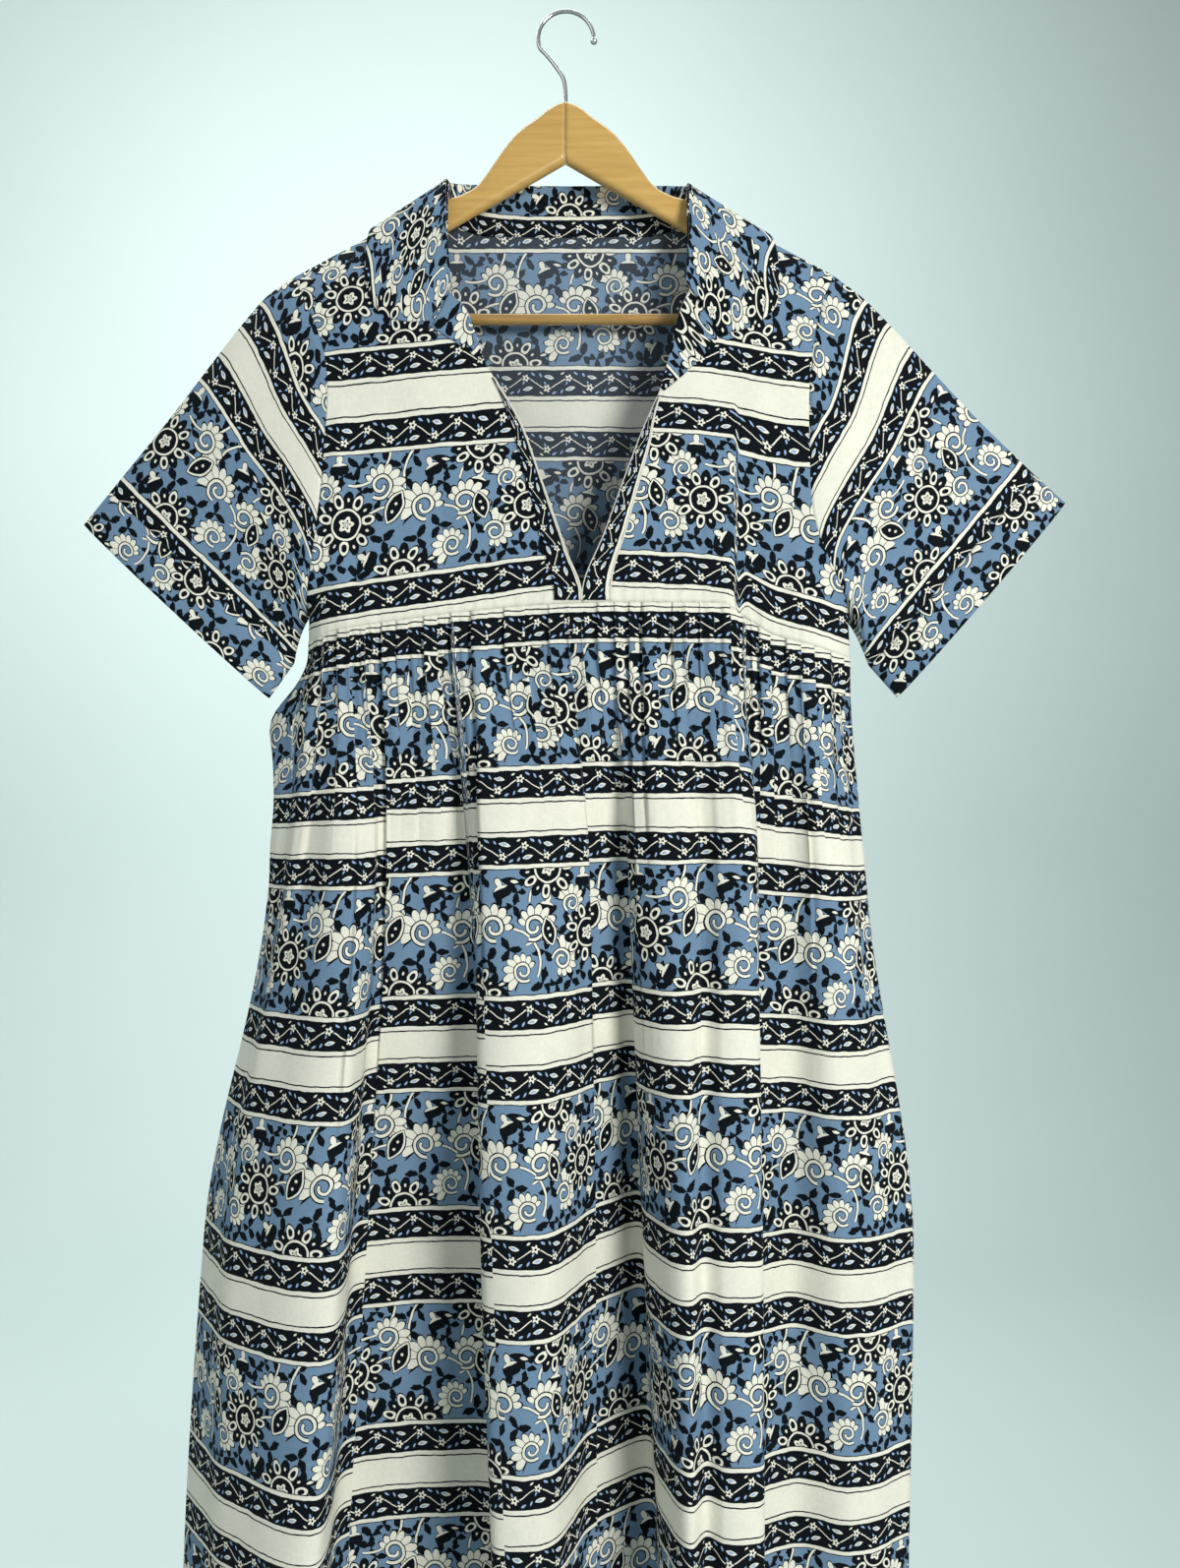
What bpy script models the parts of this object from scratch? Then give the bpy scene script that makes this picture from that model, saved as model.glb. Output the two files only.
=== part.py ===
"""A tiered midi dress of block-printed cotton, hanging on its wooden hanger.

Metres, +Z up. The front faces -Y, and left and right are as seen from the front.
The origin is the inside of the hook's top, where a rail or a peg carries it.
The cloth is made of thin walls: every piece is a grid of points on its outer face,
and the wall grows inwards from it. Seams leave a gap of 0.3 mm between two pieces.
"""

import math

import bpy
from mathutils import Vector

MM = 0.001

# Cloth
CLOTH = 1.2 * MM
TRIM_CLOTH = 1.0 * MM
SEAM_GAP = 0.3 * MM
LIES_ABOVE = 0.35 * MM

# Shoulders and the depth of the bodice
NECK_HALF = 92 * MM
SHOULDER_TOP = -144 * MM
SHOULDER_SLOPE = 0.5388
FRONT_DEPTH = 38 * MM
FRONT_REACH = 250 * MM
BACK_DEPTH = 18 * MM
BACK_REACH = 60 * MM
SIDE_REACH_FRONT = 45 * MM
SIDE_REACH_BACK = 30 * MM
TUCK_X = 131 * MM
TUCK_WIDTH = 16 * MM
TUCK_DEPTH = 9 * MM
TUCK_TOP = -330 * MM
TUCK_FADE = 110 * MM

# Skirt
CENTRE_FRONT = 13.2 * MM

# Sleeves
CUFF_DEPTH = {"front": 16 * MM, "back": 12 * MM}
SLEEVE_AROUND = 28
SLEEVE_RINGS = (0, 0.08, 0.22, 0.4, 0.6, 0.8, 1)
BAND_RINGS = (0.0001, 0.5, 1)

# Hanger
ARM_EDGE_RADIUS = 5.5 * MM
ARM_BELOW_CLOTH = 2.6 * MM
BAR_Z = -242.8 * MM
BAR_RADIUS = 4.5 * MM
BAR_HALF_LENGTH = 203.5 * MM
BORE_CLEARANCE = 0.3 * MM
WIRE_RADIUS = 1.6 * MM
HOOK_RADIUS = 22 * MM
SHANK_BOTTOM = -100 * MM
BAR_BORE_START = 180 * MM
HOOK_BORE_TOP = -60 * MM
BALL_RADIUS = 2.7 * MM
HOOK_BEND_X = 0.4 * MM
# The wire below its round bend: x and z, in millimetres
HOOK_STEM = [(0, -100), (0, -80), (0, -62), (-1.4, -52.5), (-7.5, -42.5), (-15.5, -32.5)]
HOOK_STEM_STEPS = 12
# The round bend: first and last angle in degrees, and steps
HOOK_BEND = (196, 2, 18)

# Seam at the high waist: x and z, in millimetres
WAIST_SEAM = [
    (-203, -500), (-178, -494), (-131, -487), (-78, -480), (0, -473.6),
    (34, -472.6), (118, -473), (140, -484), (160, -496), (190, -504), (226, -512),
]

# Armholes from the shoulder point down to the underarm: x and z, in millimetres
ARMHOLE = {
    "left": [(-214.5, -210), (-201, -238), (-187, -272), (-184, -362),
             (-189, -413), (-194.5, -449), (-202.5, -476)],
    "right": [(212, -208.7), (199, -240), (189.5, -288), (187.5, -360),
              (191, -404), (209, -450), (224, -480)],
}

# Side seam of the bodice, from the underarm to the waist: x and z, in millimetres
SIDE_SEAM = {"left": [(-202.5, -476), (-203, -500)], "right": [(224, -480), (226, -512)]}

# Front neckline from the shoulder seam down to the waist: x and z, in millimetres
FRONT_NECK = {
    "left": [(-95, -145.6), (-95, -185), (-94.5, -215), (-90, -231), (-75.9, -246),
             (-68.2, -264), (-61.2, -287.5), (-52.1, -303.7), (-35.4, -332.2),
             (-17.3, -380.5), (1.5, -434), (13.0, -466.4), (13.05, -472.9)],
    "right": [(98, -147.2), (98.5, -185), (99, -213), (96.5, -229), (89.9, -243.6),
              (83, -269.4), (78.3, -292.8), (71.5, -313.5), (60.8, -338.2),
              (48.8, -369.3), (30.7, -419), (13.4, -466.4), (13.35, -472.9)],
}

# Back neckline from the left shoulder seam to the right one: x and z, in millimetres
BACK_NECK = [(-95, -145.6), (-91, -160), (-78, -167.5), (-40, -170.5), (1.5, -171.2),
             (43, -170.5), (81, -168), (94, -161), (98, -147.2)]

# Sleeves: top line, underarm line, and the two ends of the cuff seam and of the hem
SLEEVE = {
    "left": {
        "top": [(-214.5, -210), (-235, -224), (-253.5, -244.4), (-271.4, -267),
                (-310.4, -317.7), (-354.5, -372)],
        "under": [(-202.5, -476), (-208, -487), (-212, -500), (-213, -512.7)],
        "hem": [(-381.4, -405.5), (-234.8, -543.1)],
    },
    "right": {
        "top": [(212, -208.7), (235.6, -226.5), (258.2, -249.1), (287.8, -281.1),
                (324.5, -320.1), (368, -362.6)],
        "under": [(224, -480), (230, -491), (235, -503), (238, -514.4)],
        "hem": [(396, -388.3), (262.9, -542.4)],
    },
}

# Depth of the skirt's front at four heights: how far the near and the far folds hang
# in front of the hanger's plane, in millimetres
LEVELS = (0, 190, 465, 830)
FAR_FOLDS = (-36, -22, -18, -18)
NEAR_FOLDS = (-38, -72, -100, -108)

# Folds of the skirt's front, from left to right. x is given at the waist seam, at two
# heights below it and at the hem, in millimetres. near is 0 for a fold that lies as far
# back as FAR_FOLDS and 1 for one as far forward as NEAR_FOLDS.
# Columns: name, x at each level, near at each level
FRONT_FOLDS = [
    ("left bend", (-186, -205, -241, -252), (0, 0.35, 0.60, 0.45)),
    ("left crest", (-160, -149, -161, -180), (0, 0.75, 0.95, 0.95)),
    ("left valley", (-141, -138, -154, -172), (0, 0.30, 0.12, 0.15)),
    ("left far panel", (-116, -108, -114, -109), (0, 0.35, 0.02, 0.00)),
    ("under the first edge", (-94, -72, -60, -45), (0, 0.33, 0.10, 0.05)),
    ("first edge", (-78, -67, -56, -41), (0, 0.80, 0.90, 1.00)),
    ("centre panel", (-40, -20, -14, -12), (0, 0.90, 1.00, 0.97)),
    ("slope to the recess", (0, 14, 20, 20), (0, 0.55, 0.42, 0.32)),
    ("recess", (32, 45, 56, 68), (0, 0.25, 0.00, 0.00)),
    ("second edge", (49, 53, 63, 76), (0, 0.80, 0.62, 0.66)),
    ("right crest", (80, 88, 91, 92), (0, 0.92, 1.00, 1.04)),
    ("small tuck", (97, 104, 103, 104), (0, 0.70, 0.84, 0.90)),
    ("right panel", (113, 116, 114, 114), (0, 0.82, 0.92, 0.98)),
    ("third edge", (131, 140, 141, 139), (0, 0.72, 0.85, 0.95)),
    ("under the third edge", (145, 146, 146, 145), (0, 0.28, 0.35, 0.35)),
    ("right far panel", (166, 173, 174, 180), (0, 0.20, 0.08, 0.15)),
    ("right ridge", (194, 202, 211, 222), (0, 0.38, 0.25, 0.20)),
]
FRONT_SIDES = [
    ("left side", (-203, -227, -284, -302)),
    ("right side", (226, 238, 274, 269)),
]
SIDE_Y = (0, -8, -8, -8)

# How much further out the left side seam bellies below the sleeve: drop and amount
LEFT_FLARE = [(0, 0), (30, 21), (55, 28), (98, 19), (130, 13), (160, 10), (190, 6), (330, 0)]

# Folds of the skirt's back, from left to right, in millimetres: x at the waist seam and
# at the hem, and y at the two middle levels and at the hem
BACK_FOLDS = [
    (-163, -248, 33, 38, 39), (-116, -178, 15, 13, 12), (-70, -108, 34, 40, 41),
    (-22, -38, 16, 14, 13), (28, 30, 34, 40, 41), (76, 96, 15, 13, 12),
    (124, 160, 33, 39, 40), (176, 222, 16, 15, 14),
]
BACK_AT_SEAM = 18

# Rows of the skirt below the seam, in millimetres, with the height of the fine gathers
SKIRT_ROWS = [
    (0, 0.5), (8, 1.7), (24, 2.1), (56, 1.5), (120, 0.7), (250, 0.0), (440, 0.0),
    (640, 0.0), (830, 0.0),
]
COLUMNS_PER_FOLD = 6
COLUMNS_PER_BACK_FOLD = 8
GATHER_UNEVEN = 0.38
GATHER_WIDTH = 4 * MM
# Columns from each side seam over which the gathers begin
GATHER_ENDS = 4
# How far below the seam, in millimetres, the cloth hangs in its own folds
SETTLED_BY = 70

# Extra room under the waist seam, where the skirt's columns cut its corners
CORNER_ROOM = {"front": 0.0, "back": 0.25 * MM}

# The armhole's share of each side edge of the bodice. The side seam is the rest
ARMHOLE_SHARE = {"left": 0.92, "right": 0.895}
FRONT_COLUMNS = 12
BACK_COLUMNS = 22
BACK_SHOULDER_SHARE = 0.27

# Collar: the seam, the fold and the edge of the leaf at each place, in millimetres.
# Columns: seam x, y, z; fold x, y, z; edge x, y, z. Where y is None it lies on the front.
COLLAR_LEFT = [
    (-89.2, None, -226.5, -86.8, None, -225, -103.5, None, -256.5),
    (-91.0, None, -209, -88.4, None, -206, -127, None, -255.5),
    (-92.4, None, -190, -89.8, None, -184, -145, None, -245.5),
    (-92.8, None, -172, -90.8, None, -160, -153.8, None, -226),
    (-93.0, -12.0, -156, -91.6, -10.5, -142, -155, -19.5, -203),
    (-93.2, -7.6, -148.4, -92.0, -6.0, -135, -154, -14.0, -182),
    (-93.4, 0.0, -143.6, -92.4, 0.0, -131.8, -151.5, 0.0, -170.0),
    (-93.2, 7.6, -147.4, -91.4, 6.5, -130.5, -149, 13.0, -178),
    (-90.0, 13.2, -156, -86.6, 13.0, -128.6, -140, 20.0, -193),
    (-80.0, 16.8, -164.5, -74.0, 17.5, -127, -113, 21.8, -198),
    (-54.0, 18.0, -168.6, -49.0, 20.6, -125.8, -70, 22.4, -196),
    (-18.0, 18.6, -169.8, -16.0, 21.8, -125.2, -22, 22.6, -194),
]
COLLAR_RIGHT = [
    (21.0, 18.6, -169.8, 20.0, 21.8, -125.2, 26, 22.6, -194),
    (57.0, 18.0, -168.8, 52.0, 20.6, -126.2, 74, 22.4, -197),
    (83.0, 16.8, -165, 77.0, 17.5, -128, 117, 21.8, -199.5),
    (93.0, 13.2, -157, 90.0, 13.0, -130.6, 145, 20.0, -196),
    (96.2, 7.6, -148.6, 94.8, 6.5, -133.4, 155, 13.0, -181.5),
    (96.4, 0.0, -145.2, 95.6, 0.0, -135.8, 159, 0.0, -174.5),
    (96.4, -7.6, -149.6, 95.4, -6.0, -138, 163.5, -14.0, -187),
    (96.4, -12.0, -158, 95.2, -10.5, -145.5, 166.5, -19.5, -211),
    (96.4, None, -174, 94.8, None, -163, 165.5, None, -232),
    (96.2, None, -192, 94.0, None, -186, 160.5, None, -246.5),
    (95.8, None, -209, 93.4, None, -206.5, 141.5, None, -260.5),
    (95.4, None, -224.5, 93.0, None, -223.5, 120, None, -266.5),
]
COLLAR_COLUMNS = 46
COLLAR_FOLD_RADIUS = 2.0 * MM
COLLAR_LIFT = 1.7 * MM
# How far its seam and its fold lie in front of the bodice
COLLAR_SEAM_OUT = -0.3 * MM
COLLAR_FOLD_OUT = 2.2 * MM
# Shares of the way down the leaf at which it has a row of points
COLLAR_LEAF_ROWS = (0.12, 0.35, 0.65, 1)

# Turned-back lapels under the collar's ends: the neckline edge and the outer edge
# from the collar down to the placket, x and z in millimetres
LAPEL = {
    "left": {"fold": [(-88.2, -234.4), (-76.3, -246.6), (-68.8, -264.2), (-62.2, -286.5)],
             "edge": [(-102.4, -261.2), (-91, -268.5), (-77, -278), (-64, -288.2)]},
    "right": {"fold": [(93.6, -236.8), (89.4, -245.8), (83.4, -269.6), (73.4, -309)],
              "edge": [(118.4, -270.6), (107, -282.5), (93, -297), (76, -311.4)]},
}

# Placket strips along the lower part of the neckline: widths from the top down, in mm.
# Columns: share of the way down, width
PLACKET = {
    "left": [(0, 1.6), (0.25, 8.0), (0.5, 12.0), (0.75, 15.5), (1, 20.5)],
    "right": [(0, 2.0), (0.25, 9.5), (0.5, 13.0), (0.75, 16.5), (1, 21.5)],
}
PLACKET_TOP = {"left": -301 * MM, "right": -316 * MM}
PLACKET_BOTTOM = -471.4 * MM
PLACKET_ROWS = 15
PLACKET_INWARD = 0.25 * MM
LAPEL_ROWS = 7
LAPEL_COLUMNS = 4

# Hanger arm from the joint outwards, in millimetres.
# Columns: x, top z (None where the cloth lies on it), bottom z, half the thickness
ARM_STATIONS = [
    (0.15, -70.8, -119.5, 6), (8, -73.8, -124.0, 6), (22, -84.0, -132.0, 6),
    (38, -96.0, -141.2, 6), (50, -110.5, -148.2, 6), (60, -125.0, -154.0, 5.8),
    (70, -137.5, -159.8, 5.3), (82, -144.4, -166.8, 4.7), (96, None, -174.9, 4.4),
    (120, None, -188.5, 5.0), (150, None, -205.5, 5.5), (180, None, -222.0, 5.5),
    (192, None, -229.5, 5.5), (195, None, -247.5, 5.5), (198, None, -251.6, 5.5),
    (204, None, -252.4, 5.5), (209.5, -212.5, -248.5, 5.0), (212.5, -222.0, -240.0, 3.4),
]


def clear_scene():
    for thing in list(bpy.data.objects):
        bpy.data.objects.remove(thing, do_unlink=True)


def material(name, colour, roughness, metallic=0.0):
    found = bpy.data.materials.get(name)
    if found:
        return found
    made = bpy.data.materials.new(name)
    made.use_nodes = True
    shader = made.node_tree.nodes["Principled BSDF"]
    shader.inputs["Base Color"].default_value = (*colour, 1)
    shader.inputs["Roughness"].default_value = roughness
    shader.inputs["Metallic"].default_value = metallic
    made.diffuse_color = (*colour, 1)
    return made


def printed_cotton():
    return material("printed_cotton", (0.13, 0.22, 0.40), 0.85)


def navy_cotton():
    return material("navy_cotton", (0.012, 0.02, 0.05), 0.85)


def varnished_wood():
    return material("varnished_wood", (0.62, 0.36, 0.12), 0.35)


def brown_wood():
    return material("brown_wood", (0.40, 0.20, 0.06), 0.3)


def chrome():
    return material("chrome", (0.75, 0.75, 0.76), 0.15, 1.0)


def add_object(name, points, faces, look, smooth=True):
    mesh = bpy.data.meshes.new(name)
    mesh.from_pydata([tuple(p) for p in points], [], faces)
    mesh.materials.append(look)
    if smooth:
        mesh.shade_smooth()
    made = bpy.data.objects.new(name, mesh)
    bpy.context.collection.objects.link(made)
    return made


def spline(points, at):
    """A smooth curve through points, at is 0 to 1 along it by chord length."""
    points = [Vector(p) for p in points]
    knots = [0.0]
    for a, b in zip(points, points[1:]):
        knots.append(knots[-1] + max((b - a).length, 1e-9))
    here = min(max(at, 0.0), 1.0) * knots[-1]
    last = len(points) - 1
    i = 0
    while i < last - 1 and knots[i + 1] < here:
        i += 1

    def slope(k):
        if k == 0:
            return (points[1] - points[0]) / knots[1]
        if k == last:
            return (points[last] - points[last - 1]) / (knots[last] - knots[last - 1])
        before, after = knots[k] - knots[k - 1], knots[k + 1] - knots[k]
        back = (points[k] - points[k - 1]) / before
        ahead = (points[k + 1] - points[k]) / after
        return (back * after + ahead * before) / (before + after)

    span = knots[i + 1] - knots[i]
    t = (here - knots[i]) / span
    t2, t3 = t * t, t * t * t
    return (
        points[i] * (2 * t3 - 3 * t2 + 1)
        + slope(i) * (span * (t3 - 2 * t2 + t))
        + points[i + 1] * (3 * t2 - 2 * t3)
        + slope(i + 1) * (span * (t3 - t2))
    )


def value_at(stations, values, at):
    """Reads a short table of values smoothly, with level ends between its rows."""
    if at <= stations[0]:
        return values[0]
    for k in range(len(stations) - 1):
        if at <= stations[k + 1]:
            break
    else:
        return values[-1]

    def slope(j):
        if j == 0 or j == len(stations) - 1:
            return 0.0
        left = (values[j] - values[j - 1]) / (stations[j] - stations[j - 1])
        right = (values[j + 1] - values[j]) / (stations[j + 1] - stations[j])
        return 0.0 if left * right <= 0 else 2 * left * right / (left + right)

    span = stations[k + 1] - stations[k]
    t = (at - stations[k]) / span
    t2, t3 = t * t, t * t * t
    return (
        values[k] * (2 * t3 - 3 * t2 + 1)
        + slope(k) * span * (t3 - 2 * t2 + t)
        + values[k + 1] * (3 * t2 - 2 * t3)
        + slope(k + 1) * span * (t3 - t2)
    )


def smoothstep(value):
    t = min(max(value, 0.0), 1.0)
    return t * t * (3 - 2 * t)


def quarter_round(distance, reach):
    """Rises from 0 to 1 like a quarter of an ellipse over the reach."""
    t = min(max(distance / reach, 0.0), 1.0)
    return math.sqrt(1 - (1 - t) ** 2)


def in_mm(points):
    return [(a * MM, b * MM) for a, b in points]


def shoulder_z(x):
    return SHOULDER_TOP - max(abs(x) - NECK_HALF, 0.0) * SHOULDER_SLOPE


def waist_curve(x):
    xs = [p[0] * MM for p in WAIST_SEAM]
    zs = [p[1] * MM for p in WAIST_SEAM]
    return value_at(xs, zs, x)


def waist_stations(face):
    """Where the bodice's columns meet the waist seam."""
    first, last = WAIST_SEAM[0][0] * MM, WAIST_SEAM[-1][0] * MM
    if face == "back":
        return [first + (last - first) * c / BACK_COLUMNS for c in range(BACK_COLUMNS + 1)]
    middle = CENTRE_FRONT
    left = [first + (middle - first) * c / FRONT_COLUMNS for c in range(FRONT_COLUMNS)]
    return left + [middle + (last - middle) * c / FRONT_COLUMNS for c in range(FRONT_COLUMNS + 1)]


def waist_z(x, face):
    """Height of the waist seam, straight between the bodice's columns on that face."""
    stations = waist_stations(face)
    if x <= stations[0]:
        return waist_curve(stations[0])
    for a, b in zip(stations, stations[1:]):
        if x <= b:
            share = (x - a) / (b - a)
            return waist_curve(a) * (1 - share) + waist_curve(b) * share
    return waist_curve(stations[-1])


def from_side_seam(x, z):
    side = "left" if x < CENTRE_FRONT else "right"
    (x1, z1), (x2, z2) = in_mm(SIDE_SEAM[side])
    t = ((x - x1) * (x2 - x1) + (z - z1) * (z2 - z1)) / ((x2 - x1) ** 2 + (z2 - z1) ** 2)
    t = min(max(t, 0.0), 1.0)
    return math.hypot(x - x1 - t * (x2 - x1), z - z1 - t * (z2 - z1))


def front_y(x, z):
    """Outer face of the bodice's front, which the sleeves and the waist share."""
    below = shoulder_z(x) - z
    depth = FRONT_DEPTH * quarter_round(below, FRONT_REACH)
    tuck = smoothstep((x - TUCK_X) / TUCK_WIDTH + 0.5) * smoothstep((TUCK_TOP - z) / TUCK_FADE)
    depth -= TUCK_DEPTH * tuck
    return -depth * quarter_round(from_side_seam(x, z), SIDE_REACH_FRONT)


def back_y(x, z):
    below = shoulder_z(x) - z
    depth = BACK_DEPTH * quarter_round(below, BACK_REACH)
    return depth * quarter_round(from_side_seam(x, z), SIDE_REACH_BACK)


def depth_at(face, x, z):
    return front_y(x, z) if face == "front" else back_y(x, z)


def grid_normals(rows, wrap, flip):
    """The direction away from the wall's outer face at each point of the grid."""
    count, width = len(rows), len(rows[0])
    normals = []
    for r in range(count):
        line = []
        for c in range(width):
            up, down = rows[max(r - 1, 0)][c], rows[min(r + 1, count - 1)][c]
            if wrap:
                before, after = rows[r][(c - 1) % width], rows[r][(c + 1) % width]
            else:
                before, after = rows[r][max(c - 1, 0)], rows[r][min(c + 1, width - 1)]
            normal = (after - before).cross(down - up).normalized()
            line.append(-normal if flip else normal)
        normals.append(line)
    return normals


def wall(name, rows, look, thickness, flip=False, wrap=False, fixed=None):
    """One closed wall from the rows of its outer face. fixed holds the directions that
    two pieces share at a seam, by row and column."""
    count, width = len(rows), len(rows[0])
    normals = grid_normals(rows, wrap, flip)
    for (r, c), direction in (fixed or {}).items():
        normals[r][c] = direction
    outer = [p for row in rows for p in row]
    inner = [p - n * thickness for row, ns in zip(rows, normals) for p, n in zip(row, ns)]
    total = len(outer)
    faces = []

    def face(a, b, c, d):
        faces.append((a, b, c, d) if flip else (d, c, b, a))

    across = width if wrap else width - 1
    for r in range(count - 1):
        for c in range(across):
            n = (c + 1) % width
            a, b = r * width + c, r * width + n
            d, e = a + width, b + width
            face(a, d, e, b)
            face(total + a, total + b, total + e, total + d)
    for c in range(across):
        n = (c + 1) % width
        end = (count - 1) * width
        face(c, n, total + n, total + c)
        face(end + n, end + c, total + end + c, total + end + n)
    if not wrap:
        for r in range(count - 1):
            a, d = r * width, (r + 1) * width
            face(d, a, total + a, total + d)
            a, d = a + width - 1, d + width - 1
            face(a, d, total + d, total + a)
    return add_object(name, outer + inner, faces, look)


def shoulder_normal(side):
    across = -1 if side == "left" else 1
    return Vector((across * SHOULDER_SLOPE, 0, 1)).normalized()


def armhole_point(side, share):
    x, z = spline(in_mm(ARMHOLE[side]), share)
    return x, z


def armhole_normal(side, share, face):
    """Shared by the bodice and the sleeve: up at the shoulder, down at the underarm."""
    across = -1 if side == "left" else 1
    turn = 1 - 2 * share
    sideways = -1 if face == "front" else 1
    top, bottom = max(turn, 0.0) ** 6, max(-turn, 0.0) ** 6
    flat = math.sqrt(max(0.0, 1 - turn ** 12))
    up = shoulder_normal(side) * top
    down = Vector((across * 0.5, 0, -0.86)) * bottom
    return (up + down + Vector((0, sideways * flat, 0))).normalized()


def out_of_armhole(side, share):
    """Square to the armhole's line, away from the bodice."""
    (x1, z1), (x2, z2) = (armhole_point(side, share + step) for step in (-0.01, 0.01))
    out = Vector((z2 - z1, 0, x1 - x2)).normalized()
    return out if side == "left" else -out


def toward_cuff(side, share):
    start = Vector((armhole_point(side, share)[0], 0, armhole_point(side, share)[1]))
    end = Vector((cuff_point(side, share)[0], 0, cuff_point(side, share)[1]))
    return (end - start).normalized()


def cuff_point(side, share):
    top = Vector(in_mm(SLEEVE[side]["top"])[-1])
    under = Vector(in_mm(SLEEVE[side]["under"])[-1])
    return tuple(top.lerp(under, share))


def hem_point(side, share):
    top, under = (Vector(p) for p in in_mm(SLEEVE[side]["hem"]))
    return tuple(top.lerp(under, share))


def bodice_side(side, share):
    """Down the armhole and then the side seam. Returns x, z and the armhole's share."""
    split = ARMHOLE_SHARE[side]
    if share <= split:
        down = share / split
        return (*armhole_point(side, down), down)
    (x1, z1), (x2, z2) = in_mm(SIDE_SEAM[side])
    t = (share - split) / (1 - split)
    return x1 + (x2 - x1) * t, z1 + (z2 - z1) * t, None


def coons_between(left, right, top, bottom, corners, u, v):
    """A point of the patch between four edges. The corners are the left and the right
    one at the top, then at the bottom."""
    flat = corners[0].lerp(corners[1], u).lerp(corners[2].lerp(corners[3], u), v)
    return left.lerp(right, u) + top.lerp(bottom, v) - flat


def coons(left, right, top, bottom, u, v):
    """The same, with the edges as functions that give x and z."""
    return coons_between(
        Vector(left(v)), Vector(right(v)), Vector(top(u)), Vector(bottom(u)),
        [Vector(left(0)), Vector(right(0)), Vector(left(1)), Vector(right(1))], u, v,
    )


def ring_share(k):
    """How far down the sleeve's ring its point k lies."""
    return (1 - math.cos(2 * math.pi * k / SLEEVE_AROUND)) / 2


def bodice_rows(side):
    """Rows down the side edge, each at a point of the sleeve's first ring."""
    split = ARMHOLE_SHARE[side]
    return [ring_share(k) * split for k in range(SLEEVE_AROUND // 2 + 1)] + [1]


def bodice_front(side):
    columns = FRONT_COLUMNS
    neck = in_mm(FRONT_NECK[side])
    shoulder = in_mm(ARMHOLE[side])[0]
    away = -1 if side == "left" else 1

    def outer_edge(v):
        return bodice_side(side, v)[:2]

    def neck_edge(v):
        return tuple(spline(neck, v))

    def shoulder_edge(u):
        x = shoulder[0] + (neck[0][0] - shoulder[0]) * u
        return x, shoulder_z(x)

    def waist_edge(u):
        end = in_mm(SIDE_SEAM[side])[1]
        x = end[0] + (neck[-1][0] - end[0]) * u
        return x, waist_z(x, "front")

    rows, fixed = [], {}
    shares = bodice_rows(side)
    for r, v in enumerate(shares):
        row = []
        for c in range(columns + 1):
            u = c / columns
            x, z = coons(outer_edge, neck_edge, shoulder_edge, waist_edge, u, v)
            y = front_y(x, z)
            point = Vector((x, y, z))
            if r == 0:
                point += Vector((0, -SEAM_GAP / 2, 0))
                fixed[r, c] = shoulder_normal(side)
            if r == len(shares) - 1:
                point += Vector((0, 0, SEAM_GAP))
                fixed[r, c] = waist_normal(x, "front")
            if c == 0:
                down = bodice_side(side, v)[2]
                if down is None:
                    point += Vector((0, -SEAM_GAP / 2, 0))
                    fixed[r, c] = Vector((away, 0, 0))
                else:
                    point -= out_of_armhole(side, down) * (SEAM_GAP / 2)
                    fixed[r, c] = armhole_normal(side, down, "front")
            row.append(point)
        rows.append(row if side == "left" else row[::-1])
    if side == "right":
        fixed = {(r, columns - c): n for (r, c), n in fixed.items()}
    wall("bodice_front_" + side, rows, printed_cotton(), CLOTH, flip=True, fixed=fixed)


def waist_normal(x, face):
    """Level, and square to the waist seen from above."""
    step = 0.5 * MM
    ends = [p[0] * MM for p in (WAIST_SEAM[0], WAIST_SEAM[-1])]
    if x < ends[0] + step:
        return Vector((-1, 0, 0))
    if x > ends[1] - step:
        return Vector((1, 0, 0))
    height = waist_curve(x)
    rise = depth_at(face, x + step, height) - depth_at(face, x - step, height)
    sign = -1 if face == "front" else 1
    return Vector((-sign * rise / (2 * step), sign, 0)).normalized()


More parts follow.
